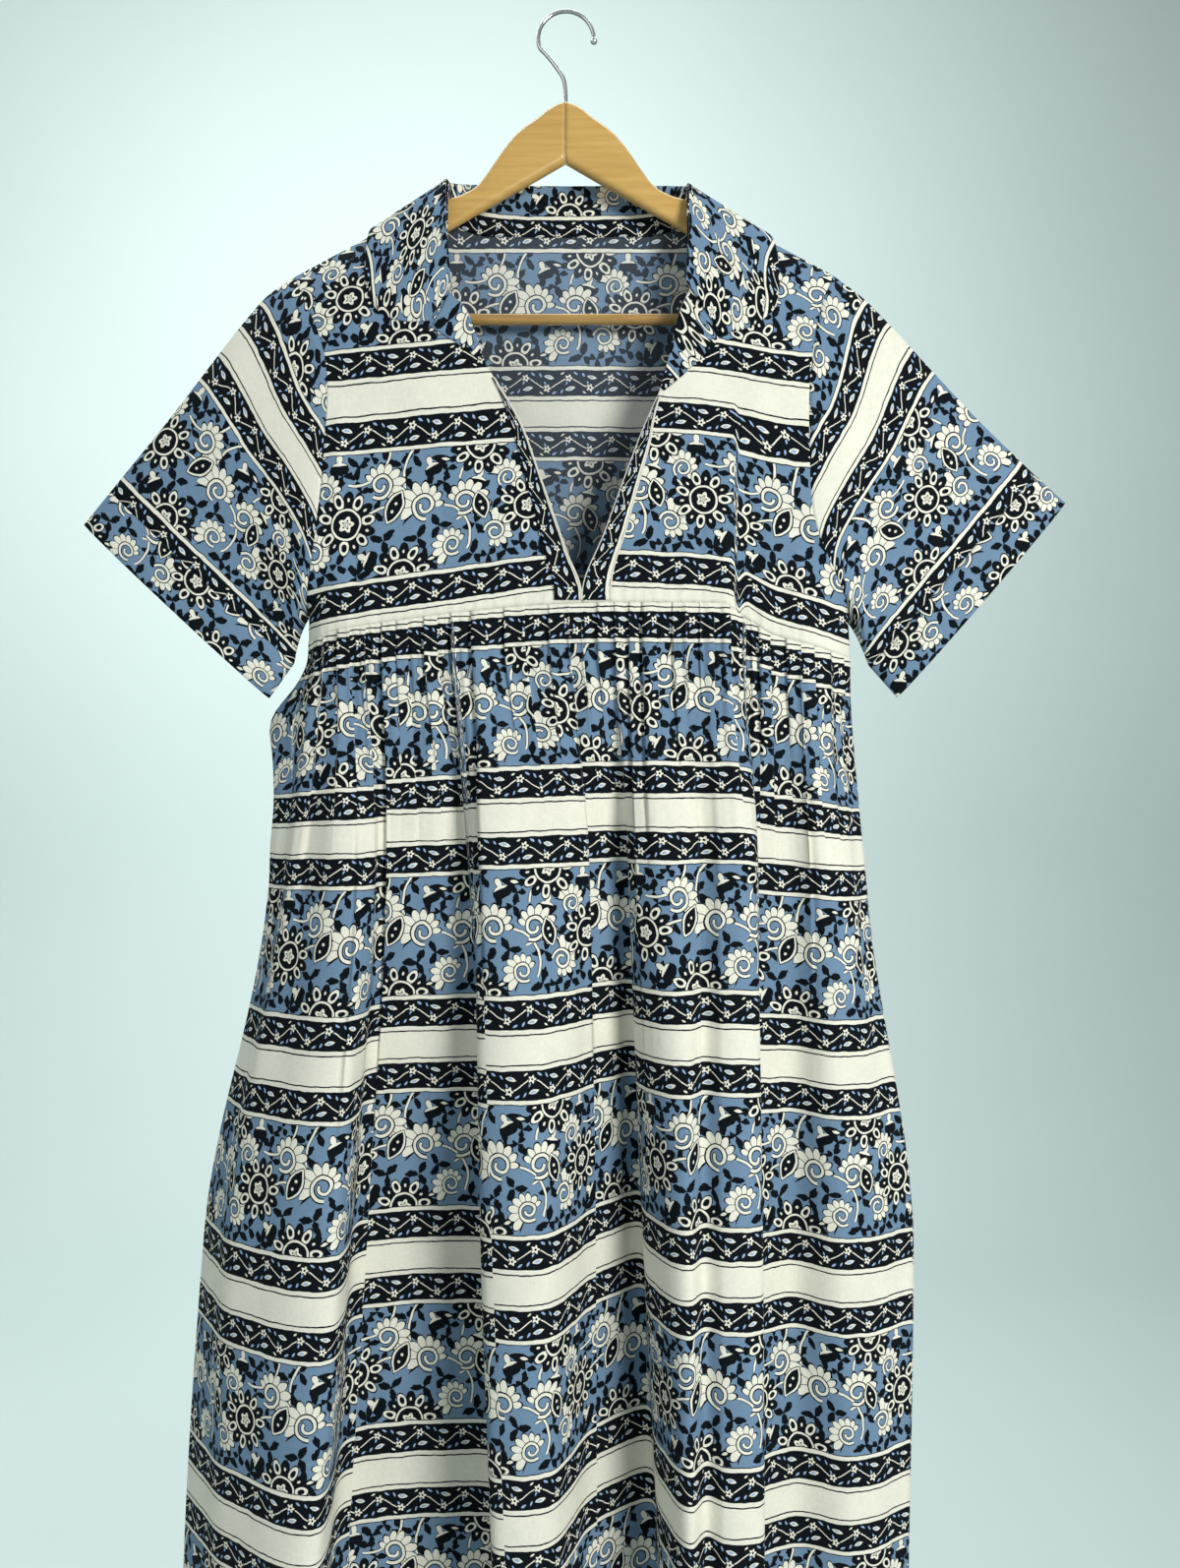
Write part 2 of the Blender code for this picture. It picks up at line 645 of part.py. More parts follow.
def bodice_back():
    columns = BACK_COLUMNS
    left_end, right_end = in_mm(ARMHOLE["left"])[0], in_mm(ARMHOLE["right"])[0]
    neck = in_mm(BACK_NECK)
    shoulder = BACK_SHOULDER_SHARE

    def top_edge(u):
        if u < shoulder:
            x = left_end[0] + (neck[0][0] - left_end[0]) * u / shoulder
            return x, shoulder_z(x)
        if u > 1 - shoulder:
            x = right_end[0] + (neck[-1][0] - right_end[0]) * (1 - u) / shoulder
            return x, shoulder_z(x)
        return tuple(spline(neck, (u - shoulder) / (1 - 2 * shoulder)))

    def waist_edge(u):
        x1, x2 = WAIST_SEAM[0][0] * MM, WAIST_SEAM[-1][0] * MM
        x = x1 + (x2 - x1) * u
        return x, waist_z(x, "back")

    def side_edge(side, row):
        return Vector(bodice_side(side, bodice_rows(side)[row])[:2])

    count = len(bodice_rows("left"))
    corners = [side_edge(side, row) for row in (0, count - 1) for side in ("left", "right")]
    rows, fixed = [], {}
    for r in range(count):
        row = []
        for c in range(columns + 1):
            u = c / columns
            down = bodice_rows("left")[r] * (1 - u) + bodice_rows("right")[r] * u
            x, z = coons_between(
                side_edge("left", r), side_edge("right", r), Vector(top_edge(u)),
                Vector(waist_edge(u)), corners, u, down,
            )
            point = Vector((x, back_y(x, z), z))
            on_shoulder = u < shoulder or u > 1 - shoulder
            side = "left" if u < 0.5 else "right"
            if r == 0 and on_shoulder:
                point += Vector((0, SEAM_GAP / 2, 0))
                fixed[r, c] = shoulder_normal(side)
            if r == count - 1:
                point += Vector((0, 0, SEAM_GAP))
                fixed[r, c] = waist_normal(x, "back")
            if c in (0, columns):
                down = bodice_side(side, bodice_rows(side)[r])[2]
                if down is None:
                    point += Vector((0, SEAM_GAP / 2, 0))
                    fixed[r, c] = Vector((-1 if side == "left" else 1, 0, 0))
                else:
                    point -= out_of_armhole(side, down) * (SEAM_GAP / 2)
                    fixed[r, c] = armhole_normal(side, down, "back")
            row.append(point)
        rows.append(row)
    wall("bodice_back", rows, printed_cotton(), CLOTH, fixed=fixed)


def sleeve_ring(side, along, cuff_end):
    """A ring of the sleeve. along is 0 at the armhole and 1 at the cuff seam, and
    cuff_end is 0 at the cuff seam and 1 at the hem."""
    top, under = in_mm(SLEEVE[side]["top"]), in_mm(SLEEVE[side]["under"])
    ring, turns = [], []
    half = SLEEVE_AROUND // 2
    for k in range(SLEEVE_AROUND):
        angle = 2 * math.pi * k / SLEEVE_AROUND
        face = "front" if k <= half else "back"
        share = ring_share(k)
        if cuff_end > 0:
            x, z = Vector(cuff_point(side, share)).lerp(Vector(hem_point(side, share)), cuff_end)
        else:
            x, z = coons(
                lambda t: armhole_point(side, t), lambda t: cuff_point(side, t),
                lambda t: tuple(spline(top, t)), lambda t: tuple(spline(under, t)),
                along, share,
            )
        cuff_y = CUFF_DEPTH[face] * abs(math.sin(angle)) * (-1 if face == "front" else 1)
        start_y = depth_at(face, *armhole_point(side, share))
        y = start_y + (cuff_y - start_y) * smoothstep(along) if cuff_end == 0 else cuff_y
        ring.append(Vector((x, y, z)))
        turns.append((angle, face))
    up = ring[0] - ring[half]
    height = up.length / 2
    up.normalize()
    directions = []
    for angle, face in turns:
        depth = max(abs(ring[half // 2].y) if face == "front" else abs(ring[-half // 2].y), 1 * MM)
        out = up * (math.cos(angle) * depth) + Vector((0, -math.sin(angle) * height, 0))
        directions.append(out.normalized())
    return ring, directions


def sleeve(side):
    half = SLEEVE_AROUND // 2
    rows, fixed = [], {}
    for r, along in enumerate(SLEEVE_RINGS):
        ring, directions = sleeve_ring(side, along, 0)
        for k, direction in enumerate(directions):
            share = ring_share(k)
            face = "front" if k <= half else "back"
            if r == 0:
                if k in (0, half):
                    meet = armhole_normal(side, share, "front")
                    direction = Vector((meet.x, 0, meet.z)).normalized()
                else:
                    direction = armhole_normal(side, share, face)
                ring[k] += out_of_armhole(side, share) * (SEAM_GAP / 2)
            if r == len(SLEEVE_RINGS) - 1:
                ring[k] -= toward_cuff(side, share) * (SEAM_GAP / 2)
            fixed[r, k] = direction
        rows.append(ring)
    wall("sleeve_" + side, rows, printed_cotton(), CLOTH, flip=(side == "left"), wrap=True,
         fixed=fixed)


def sleeve_band(side):
    rows, fixed = [], {}
    for r, share_out in enumerate(BAND_RINGS):
        ring, directions = sleeve_ring(side, 1, share_out)
        if r == 0:
            for k in range(SLEEVE_AROUND):
                ring[k] += toward_cuff(side, ring_share(k)) * (SEAM_GAP / 2)
        for k, direction in enumerate(directions):
            fixed[r, k] = direction
        rows.append(ring)
    wall("sleeve_band_" + side, rows, printed_cotton(), CLOTH, flip=(side == "left"), wrap=True,
         fixed=fixed)


def on_front(x, z, out):
    return Vector((x, front_y(x, z) - out, z))


def collar():
    stations = []
    for row in COLLAR_LEFT + COLLAR_RIGHT:
        three = []
        for k, out in zip((0, 3, 6), (COLLAR_SEAM_OUT, COLLAR_FOLD_OUT, COLLAR_LIFT)):
            x, z = row[k] * MM, row[k + 2] * MM
            y = front_y(x, z) - out if row[k + 1] is None else row[k + 1] * MM
            three.append(Vector((x, y, z)))
        stations.append(three)
    seam, fold, edge = ([s[k] for s in stations] for k in range(3))
    columns = []
    for c in range(COLLAR_COLUMNS + 1):
        share = c / COLLAR_COLUMNS
        place = share * (len(stations) - 1)
        k = min(int(place), len(stations) - 2)
        t = place - k
        low, top, rim = (through(line, k, t) for line in (seam, fold, edge))
        leaf = (rim - top).normalized()
        stand = top - low
        out = (leaf - stand.normalized() * leaf.dot(stand.normalized())).normalized()
        rise = stand.normalized()
        radius = min(COLLAR_FOLD_RADIUS, stand.length * 0.45)
        outer_top = top + out * (2 * radius)
        points = [low, low + stand * 0.45, top - rise * radius]
        points += [top + out * radius * 0.3, top + out * radius, top + out * radius * 1.7]
        points[3] -= rise * radius * 0.29
        points[5] -= rise * radius * 0.29
        for share_down in COLLAR_LEAF_ROWS:
            points.append(lay_on_body((outer_top - rise * radius).lerp(rim, share_down)))
        columns.append(points)
    rows = [[column[r] for column in columns] for r in range(len(columns[0]))]
    wall("collar", rows, printed_cotton(), TRIM_CLOTH, flip=True)


def through(line, k, t):
    """A smooth place between two stations of a line."""
    a, b = line[max(k - 1, 0)], line[k]
    c, d = line[k + 1], line[min(k + 2, len(line) - 1)]
    t2, t3 = t * t, t * t * t
    return (
        b * (2 * t3 - 3 * t2 + 1) + (c - a) * 0.5 * (t3 - 2 * t2 + t)
        + c * (3 * t2 - 2 * t3) + (d - b) * 0.5 * (t3 - t2)
    )


def lay_on_body(point):
    """Moves a point of the collar's leaf out until it clears the bodice."""
    front_limit = front_y(point.x, point.z) - COLLAR_LIFT
    back_limit = back_y(point.x, point.z) + COLLAR_LIFT
    if point.z > shoulder_z(point.x):
        return point
    if point.y <= 0:
        return Vector((point.x, min(point.y, front_limit), point.z))
    return Vector((point.x, max(point.y, back_limit), point.z))


def lapel(side):
    fold, edge = in_mm(LAPEL[side]["fold"]), in_mm(LAPEL[side]["edge"])
    out = LIES_ABOVE + TRIM_CLOTH
    rows = []
    for r in range(LAPEL_ROWS):
        share = r / (LAPEL_ROWS - 1)
        inner, outer = spline(fold, share), spline(edge, share)
        row = []
        for c in range(LAPEL_COLUMNS):
            x, z = outer.lerp(inner, c / (LAPEL_COLUMNS - 1))
            row.append(on_front(x, z, out))
        rows.append(row if side == "left" else row[::-1])
    wall("lapel_" + side, rows, printed_cotton(), TRIM_CLOTH, flip=True)


def placket(side):
    neck = in_mm(FRONT_NECK[side])
    steps = 200
    line = [spline(neck, k / steps) for k in range(steps + 1)]
    line = [p for p in line if PLACKET_BOTTOM <= p.y <= PLACKET_TOP[side]]
    shares, widths = zip(*PLACKET[side])
    away = -1 if side == "left" else 1
    out = LIES_ABOVE + TRIM_CLOTH
    rows = []
    for r in range(PLACKET_ROWS):
        share = r / (PLACKET_ROWS - 1)
        x, z = line[round(share * (len(line) - 1))]
        width = value_at(shares, widths, share) * MM
        row = []
        for c in range(3):
            across = x + away * (PLACKET_INWARD + width * (1 - c / 2))
            row.append(on_front(across, z, out))
        rows.append(row if side == "left" else row[::-1])
    wall("placket_" + side, rows, navy_cotton(), TRIM_CLOTH, flip=True)


def gather(column, height):
    """Fine gathers at the waist: every second column comes forward, unevenly."""
    uneven = 1 + GATHER_UNEVEN * math.sin(column * 1.7) + GATHER_UNEVEN * math.sin(column * 0.61)
    return height * MM * uneven * (1 if column % 2 else -1)


def side_knots(drop):
    """The left and the right side seam at one height below the waist."""
    side_y = value_at(LEVELS, SIDE_Y, drop)
    left, right = (value_at(LEVELS, across, drop) for _, across in FRONT_SIDES)
    return (left - value_at(*zip(*LEFT_FLARE), drop), side_y), (right, side_y)


def front_knots(drop):
    """Crests and valleys of the front at one height below the seam, left to right."""
    far, near = value_at(LEVELS, FAR_FOLDS, drop), value_at(LEVELS, NEAR_FOLDS, drop)
    left, right = side_knots(drop)
    knots = [left]
    for _, across, nearness in FRONT_FOLDS:
        share = value_at(LEVELS, nearness, drop)
        knots.append((value_at(LEVELS, across, drop), far + (near - far) * share))
    return knots + [right]


def back_knots(drop):
    left, right = side_knots(drop)
    knots = [left]
    for seam_x, hem_x, high, middle, low in BACK_FOLDS:
        x = seam_x + (hem_x - seam_x) * smoothstep(drop / LEVELS[-1] * 0.5) * 2
        knots.append((x, value_at(LEVELS, (BACK_AT_SEAM, high, middle, low), drop)))
    return knots + [right]


def through_knots(knots, per_fold):
    """Points of a ring through its knots, with the same number between each two."""
    points = [Vector((x, y, 0)) for x, y in knots]
    lengths = [0.0]
    for a, b in zip(points, points[1:]):
        lengths.append(lengths[-1] + max((b - a).length, 1e-6))
    made = []
    for k in range(len(points) - 1):
        for j in range(per_fold):
            here = lengths[k] + (lengths[k + 1] - lengths[k]) * j / per_fold
            made.append(spline(points, here / lengths[-1]))
    made.append(points[-1])
    return made


def skirt(face, knots_at, per_fold):
    seam_row = through_knots(knots_at(0), per_fold)
    last = len(seam_row) - 1
    sign = -1 if face == "front" else 1
    rows, fixed = [], {}
    for r, (drop, height) in enumerate(SKIRT_ROWS):
        ring = through_knots(knots_at(drop), per_fold)
        settle = smoothstep(drop / SETTLED_BY)
        row = []
        for c, (seam, low) in enumerate(zip(seam_row, ring)):
            seam_x = seam.x * MM
            seam_y = depth_at(face, seam_x, waist_curve(seam_x))
            x = seam_x + (low.x * MM - seam_x) * settle
            y = seam_y + (low.y * MM - seam_y) * settle
            z = waist_z(seam_x, face) - drop * MM - (CORNER_ROOM[face] if r == 0 else 0)
            row.append(Vector((x, y, z)))
        moved = []
        for c in range(1, last):
            before, after = row[c - 1], row[c + 1]
            across = Vector((after.x - before.x, after.y - before.y, 0)).normalized()
            out = Vector((-across.y * sign, across.x * sign, 0))
            fade = smoothstep(min(c, last - c) / GATHER_ENDS)
            room = min((after - before).length / 2 / GATHER_WIDTH, 1)
            moved.append(row[c] + out * gather(c, height) * fade * room)
        row[1:last] = moved
        for c in (0, last):
            row[c] = row[c] + Vector((0, sign * SEAM_GAP / 2, 0))
            fixed[r, c] = Vector((-1 if c == 0 else 1, 0, 0))
        if r == 0:
            for c in range(1, last):
                fixed[r, c] = waist_normal(row[c].x, face)
        rows.append(row)
    wall("skirt_" + face, rows, printed_cotton(), CLOTH, flip=(face == "front"), fixed=fixed)


def rounded_section(half_width, high, low, radius, steps=4):
    """Points of an upright section with four rounded corners: y and z."""
    radius = min(radius, half_width * 0.999, (high - low) / 2 * 0.999)
    corners = [
        (half_width - radius, high - radius, 0), (-half_width + radius, high - radius, 90),
        (-half_width + radius, low + radius, 180), (half_width - radius, low + radius, 270),
    ]
    points = []
    for cy, cz, start in corners:
        for k in range(steps):
            angle = math.radians(start + 90 * k / (steps - 1))
            points.append((cy + radius * math.cos(angle), cz + radius * math.sin(angle)))
    return points


def cylinder_cutter(name, radius, start, end):
    """A round cutter between two points, left out of the part itself."""
    start, end = Vector(start), Vector(end)
    bpy.ops.mesh.primitive_cylinder_add(
        vertices=20, radius=radius, depth=(end - start).length, location=(start + end) / 2
    )
    cutter = bpy.context.object
    cutter.name = name
    cutter.rotation_euler = (end - start).to_track_quat("Z", "Y").to_euler()
    cutter.hide_render = True
    cutter.display_type = "WIRE"
    return cutter


def hanger_arm(side):
    across = -1 if side == "left" else 1
    rings = []
    for x, high, low, half in ARM_STATIONS:
        top = high * MM if high is not None else shoulder_z(x * MM) - ARM_BELOW_CLOTH
        section = rounded_section(half * MM, top, low * MM, ARM_EDGE_RADIUS)
        rings.append([Vector((across * x * MM, y, z)) for y, z in section])
    width = len(rings[0])
    points = [p for ring in rings for p in ring]
    faces = []
    for r in range(len(rings) - 1):
        for c in range(width):
            n = (c + 1) % width
            quad = (r * width + c, r * width + n, (r + 1) * width + n, (r + 1) * width + c)
            faces.append(quad if side == "right" else quad[::-1])
    start, end = tuple(range(width)), tuple(range(len(points) - width, len(points)))
    faces.append(start[::-1] if side == "right" else start)
    faces.append(end if side == "right" else end[::-1])
    arm = add_object("hanger_arm_" + side, points, faces, varnished_wood())
    bar_bore = cylinder_cutter(
        "bar_bore_" + side, BAR_RADIUS + BORE_CLEARANCE,
        (across * BAR_BORE_START, 0, BAR_Z), (across * (BAR_HALF_LENGTH + BORE_CLEARANCE), 0, BAR_Z),
    )
    hook_bore = cylinder_cutter(
        "hook_bore_" + side, WIRE_RADIUS + BORE_CLEARANCE,
        (0, 0, SHANK_BOTTOM - BORE_CLEARANCE), (0, 0, HOOK_BORE_TOP),
    )
    for cutter in (bar_bore, hook_bore):
        cut = arm.modifiers.new(cutter.name, "BOOLEAN")
        cut.operation = "DIFFERENCE"
        cut.object = cutter


def hanger_bar():
    bpy.ops.mesh.primitive_cylinder_add(
        vertices=20, radius=BAR_RADIUS, depth=2 * BAR_HALF_LENGTH, location=(0, 0, BAR_Z),
        rotation=(0, math.pi / 2, 0),
    )
    bar = bpy.context.object
    bar.name = bar.data.name = "hanger_bar"
    bar.data.shade_smooth()
    bar.data.set_sharp_from_angle(angle=math.radians(40))
    bar.data.materials.append(brown_wood())


def tube(name, path, radii, sides, look):
    """A round wire along a path in the plane y = 0, with a radius at each point."""
    points, faces = [], []
    for k, (centre, radius) in enumerate(zip(path, radii)):
        along = (path[min(k + 1, len(path) - 1)] - path[max(k - 1, 0)]).normalized()
        side_way = Vector((along.z, 0, -along.x))
        for j in range(sides):
            angle = 2 * math.pi * j / sides
            offset = side_way * math.cos(angle) + Vector((0, 1, 0)) * math.sin(angle)
            points.append(centre + offset * radius)
    for k in range(len(path) - 1):
        for j in range(sides):
            n = (j + 1) % sides
            faces.append((k * sides + j, k * sides + n, (k + 1) * sides + n, (k + 1) * sides + j))
    faces.append(tuple(range(sides))[::-1])
    faces.append(tuple(range(len(points) - sides, len(points))))
    add_object(name, points, faces, look)


def hook():
    """Up out of the wood, over to the left, round the bend and down to the ball tip."""
    centre = Vector((HOOK_BEND_X, 0, WIRE_RADIUS - HOOK_RADIUS))
    start, end, steps = HOOK_BEND
    bend = []
    for k in range(steps + 1):
        angle = math.radians(start + (end - start) * k / steps)
        bend.append(centre + Vector((math.cos(angle), 0, math.sin(angle))) * HOOK_RADIUS)
    stem = [Vector((x * MM, 0, z * MM)) for x, z in HOOK_STEM] + bend[:2]
    lengths = [(b - a).length for a, b in zip(stem, stem[1:])]
    bend_begins = sum(lengths[:-1]) / sum(lengths)
    path = [spline(stem, bend_begins * k / HOOK_STEM_STEPS) for k in range(HOOK_STEM_STEPS)]
    path += bend
    radii = [WIRE_RADIUS] * len(path)
    down = Vector((0.05, 0, -1)).normalized()
    for degrees in (145, 120, 90, 60, 30, 10):
        angle = math.radians(degrees)
        path.append(bend[-1] + down * BALL_RADIUS * (0.9 + math.cos(angle)))
        radii.append(BALL_RADIUS * math.sin(angle))
    tube("hook", path, radii, 8, chrome())


clear_scene()
for which in ("left", "right"):
    hanger_arm(which)
    bodice_front(which)
    sleeve(which)
    sleeve_band(which)
    lapel(which)
    placket(which)
hanger_bar()
hook()
bodice_back()
collar()
skirt("front", front_knots, COLUMNS_PER_FOLD)
skirt("back", back_knots, COLUMNS_PER_BACK_FOLD)
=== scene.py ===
"""Looks of a tiered midi dress of block-printed cotton on its wooden hanger."""

import math

import bpy
import numpy as np
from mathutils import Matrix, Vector


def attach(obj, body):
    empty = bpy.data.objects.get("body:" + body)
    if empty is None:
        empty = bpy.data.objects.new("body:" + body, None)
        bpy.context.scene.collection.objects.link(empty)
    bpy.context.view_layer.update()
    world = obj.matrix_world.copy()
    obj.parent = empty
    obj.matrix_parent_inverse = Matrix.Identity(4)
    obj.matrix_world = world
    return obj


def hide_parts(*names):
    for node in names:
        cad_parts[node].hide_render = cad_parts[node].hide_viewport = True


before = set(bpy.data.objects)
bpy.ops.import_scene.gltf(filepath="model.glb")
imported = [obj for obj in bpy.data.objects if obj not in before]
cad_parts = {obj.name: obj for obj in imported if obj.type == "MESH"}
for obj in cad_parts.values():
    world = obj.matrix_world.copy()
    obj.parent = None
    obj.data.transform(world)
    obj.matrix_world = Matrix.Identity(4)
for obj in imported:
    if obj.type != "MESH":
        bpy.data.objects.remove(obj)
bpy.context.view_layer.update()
MM = 0.001


# Hanger arms. Two curved arms of varnished pale wood, joined in the middle. Each is
# sawn to shape, rounded over its edges and sanded, with the grain along its length.
ARM_EDGE_RADIUS = 5.5
ARM_STATIONS = [
    # x, top z, bottom z, half the thickness, in millimetres
    (0.15, -70.8, -119.5, 6), (8, -73.8, -124.0, 6), (22, -84.0, -132.0, 6),
    (38, -96.0, -141.2, 6), (50, -110.5, -148.2, 6), (60, -125.0, -154.0, 5.8),
    (70, -137.5, -159.8, 5.3), (82, -144.4, -166.8, 4.7), (96, -148.8, -174.9, 4.4),
    (120, -161.7, -188.5, 5.0), (150, -177.9, -205.5, 5.5), (180, -194.0, -222.0, 5.5),
    (192, -200.5, -229.5, 5.5), (195, -202.1, -247.5, 5.5), (198, -203.7, -251.6, 5.5),
    (204, -207.0, -252.4, 5.5), (209.5, -212.5, -248.5, 5.0), (212.5, -222.0, -240.0, 3.4),
]
WOOD_COLOURS = [(0.0, (0.47, 0.265, 0.07)), (0.45, (0.57, 0.345, 0.095)),
                (0.75, (0.64, 0.41, 0.125)), (1.0, (0.39, 0.21, 0.05))]


class Num:
    """A number that a material's nodes work out, so that plain sums build them."""

    def __init__(self, tree, socket):
        self.tree, self.socket = tree, socket

    def op(self, operation, *others):
        node = self.tree.nodes.new("ShaderNodeMath")
        node.operation = operation
        for place, value in zip(node.inputs, (self, *others)):
            put(self.tree, value, place)
        return Num(self.tree, node.outputs[0])

    def __add__(self, other):
        return self.op("ADD", other)

    def __sub__(self, other):
        return self.op("SUBTRACT", other)

    def __mul__(self, other):
        return self.op("MULTIPLY", other)

    def __lt__(self, other):
        return self.op("LESS_THAN", other)

    def __gt__(self, other):
        return self.op("GREATER_THAN", other)

    def __abs__(self):
        return self.op("ABSOLUTE")


def put(tree, value, place):
    if isinstance(value, Num):
        tree.links.new(value.socket, place)
    elif hasattr(value, "is_linked"):
        tree.links.new(value, place)
    else:
        place.default_value = value


def new_material(name, roughness):
    made = bpy.data.materials.new(name)
    made.use_nodes = True
    shader = made.node_tree.nodes["Principled BSDF"]
    shader.inputs["Roughness"].default_value = roughness
    return made, made.node_tree, shader


def noise(tree, vector, scale, detail=2.0, rough=0.5):
    node = tree.nodes.new("ShaderNodeTexNoise")
    node.inputs["Scale"].default_value = scale
    node.inputs["Detail"].default_value = detail
    node.inputs["Roughness"].default_value = rough
    tree.links.new(vector, node.inputs["Vector"])
    return Num(tree, node.outputs["Fac"])


def stretched(tree, source, scale, turn=(0, 0, 0)):
    node = tree.nodes.new("ShaderNodeMapping")
    node.inputs["Rotation"].default_value = turn
    node.inputs["Scale"].default_value = scale
    tree.links.new(source, node.inputs["Vector"])
    return node.outputs["Vector"]


def ramp(tree, value, stops, constant=False):
    node = tree.nodes.new("ShaderNodeValToRGB")
    node.color_ramp.interpolation = "CONSTANT" if constant else "LINEAR"
    points = node.color_ramp.elements
    while len(points) < len(stops):
        points.new(0.5)
    for point, (position, colour) in zip(points, stops):
        point.position = position
        point.color = (*colour, 1)
    tree.links.new(value.socket, node.inputs["Fac"])
    return node.outputs["Color"]


def bump(tree, shader, height, strength, distance):
    node = tree.nodes.new("ShaderNodeBump")
    node.inputs["Strength"].default_value = strength
    node.inputs["Distance"].default_value = distance
    tree.links.new(height.socket, node.inputs["Height"])
    tree.links.new(node.outputs["Normal"], shader.inputs["Normal"])


def wood(name, slope, stops, roughness, coat):
    made, tree, shader = new_material(name, roughness)
    place = tree.nodes.new("ShaderNodeTexCoord").outputs["Object"]
    along = stretched(tree, place, (14, 60, 240), (0, slope, 0))
    rings = noise(tree, along, 1.0, 4, 0.6)
    pores = noise(tree, stretched(tree, place, (60, 900, 1800), (0, slope, 0)), 1.0, 2)
    mixed = rings * 1.15 + (pores - 0.5) * 0.22 - 0.08
    tree.links.new(ramp(tree, mixed, stops), shader.inputs["Base Color"])
    put(tree, pores * 0.12 + roughness - 0.06, shader.inputs["Roughness"])
    shader.inputs["Coat Weight"].default_value = coat
    shader.inputs["Coat Roughness"].default_value = 0.12
    bump(tree, shader, pores, 0.15, 0.0002)
    return made


def curve(points, shares):
    """Places along a smooth line through points, shares of its length from 0 to 1."""
    points = np.asarray(points, float)
    steps = np.maximum(np.linalg.norm(np.diff(points, axis=0), axis=1), 1e-9)
    knots = np.concatenate([[0], np.cumsum(steps)])
    chords = np.diff(points, axis=0) / steps[:, None]
    slopes = np.empty_like(points)
    slopes[0], slopes[-1] = chords[0], chords[-1]
    before, after = steps[:-1, None], steps[1:, None]
    slopes[1:-1] = (chords[:-1] * after + chords[1:] * before) / (before + after)
    here = np.clip(np.atleast_1d(shares), 0, 1) * knots[-1]
    i = np.clip(np.searchsorted(knots, here, side="left") - 1, 0, len(steps) - 1)
    t = ((here - knots[i]) / steps[i])[:, None]
    span = steps[i][:, None]
    return (
        points[i] * (2 * t**3 - 3 * t**2 + 1) + slopes[i] * span * (t**3 - 2 * t**2 + t)
        + points[i + 1] * (3 * t**2 - 2 * t**3) + slopes[i + 1] * span * (t**3 - t**2)
    )


def add_piece(name, points, faces, looks, nodes, slots_of_faces=None, uvs=None):
    """A smooth mesh that stands for its nodes, if any. uvs holds a pair for each point."""
    mesh = bpy.data.meshes.new(name)
    mesh.from_pydata([tuple(p) for p in points], [], faces)
    for look in looks:
        mesh.materials.append(look)
    if slots_of_faces is not None:
        mesh.polygons.foreach_set("material_index", np.asarray(slots_of_faces, np.int32))
    if uvs is not None:
        layer = mesh.uv_layers.new(name="cloth")
        corners = np.empty(len(mesh.loops), np.int32)
        mesh.loops.foreach_get("vertex_index", corners)
        layer.data.foreach_set("uv", np.asarray(uvs, np.float32)[corners].ravel())
    mesh.shade_smooth()
    made = bpy.data.objects.new(name, mesh)
    bpy.context.collection.objects.link(made)
    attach(made, "root")
    if nodes:
        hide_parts(*nodes)
    return made


def rounded_section(half, high, low, radius, steps=7):
    radius = min(radius, half * 0.999, (high - low) / 2 * 0.999)
    corners = [(half - radius, high - radius, 0), (radius - half, high - radius, 90),
               (radius - half, low + radius, 180), (half - radius, low + radius, 270)]
    section = []
    for cy, cz, start in corners:
        for k in range(steps):
            angle = math.radians(start + 90 * k / (steps - 1))
            section.append((cy + radius * math.cos(angle), cz + radius * math.sin(angle)))
    return section


def round_along(line, radii, depths, width):
    """Rings of points round a line of x and z, with its y at each place in depths."""
    points = []
    for k, (x, z) in enumerate(line):
        along = line[min(k + 1, len(line) - 1)] - line[max(k - 1, 0)]
        along = along / np.linalg.norm(along)
        for j in range(width):
            a = 2 * math.pi * j / width
            out = radii[k] * math.cos(a)
            points.append(((x + along[1] * out) * MM, (depths[k] + radii[k] * math.sin(a)) * MM,
                           (z - along[0] * out) * MM))
    return points


def tube_faces(rings, width, turned):
    faces = []
    for r in range(rings - 1):
        for c in range(width):
            n = (c + 1) % width
            quad = (r * width + c, r * width + n, (r + 1) * width + n, (r + 1) * width + c)
            faces.append(quad[::-1] if turned else quad)
    start, end = tuple(range(width)), tuple(range((rings - 1) * width, rings * width))
    faces.append(start if turned else start[::-1])
    faces.append(end[::-1] if turned else end)
    return faces


for side, across, slope in (("left", -1, -0.5), ("right", 1, 0.5)):
    table = np.array(ARM_STATIONS)
    fine = curve(table, np.linspace(0, 1, 90))
    fine[:, 0] = np.maximum.accumulate(fine[:, 0])
    rings = []
    for x, high, low, half in fine:
        for y, z in rounded_section(half, high, low, ARM_EDGE_RADIUS):
            rings.append((across * x * MM, y * MM, z * MM))
    look = wood("pale_wood_" + side, slope, WOOD_COLOURS, 0.34, 0.45)
    width = len(rings) // len(fine)
    add_piece("arm_" + side, rings, tube_faces(len(fine), width, side == "left"), [look],
              ["hanger_arm_" + side])


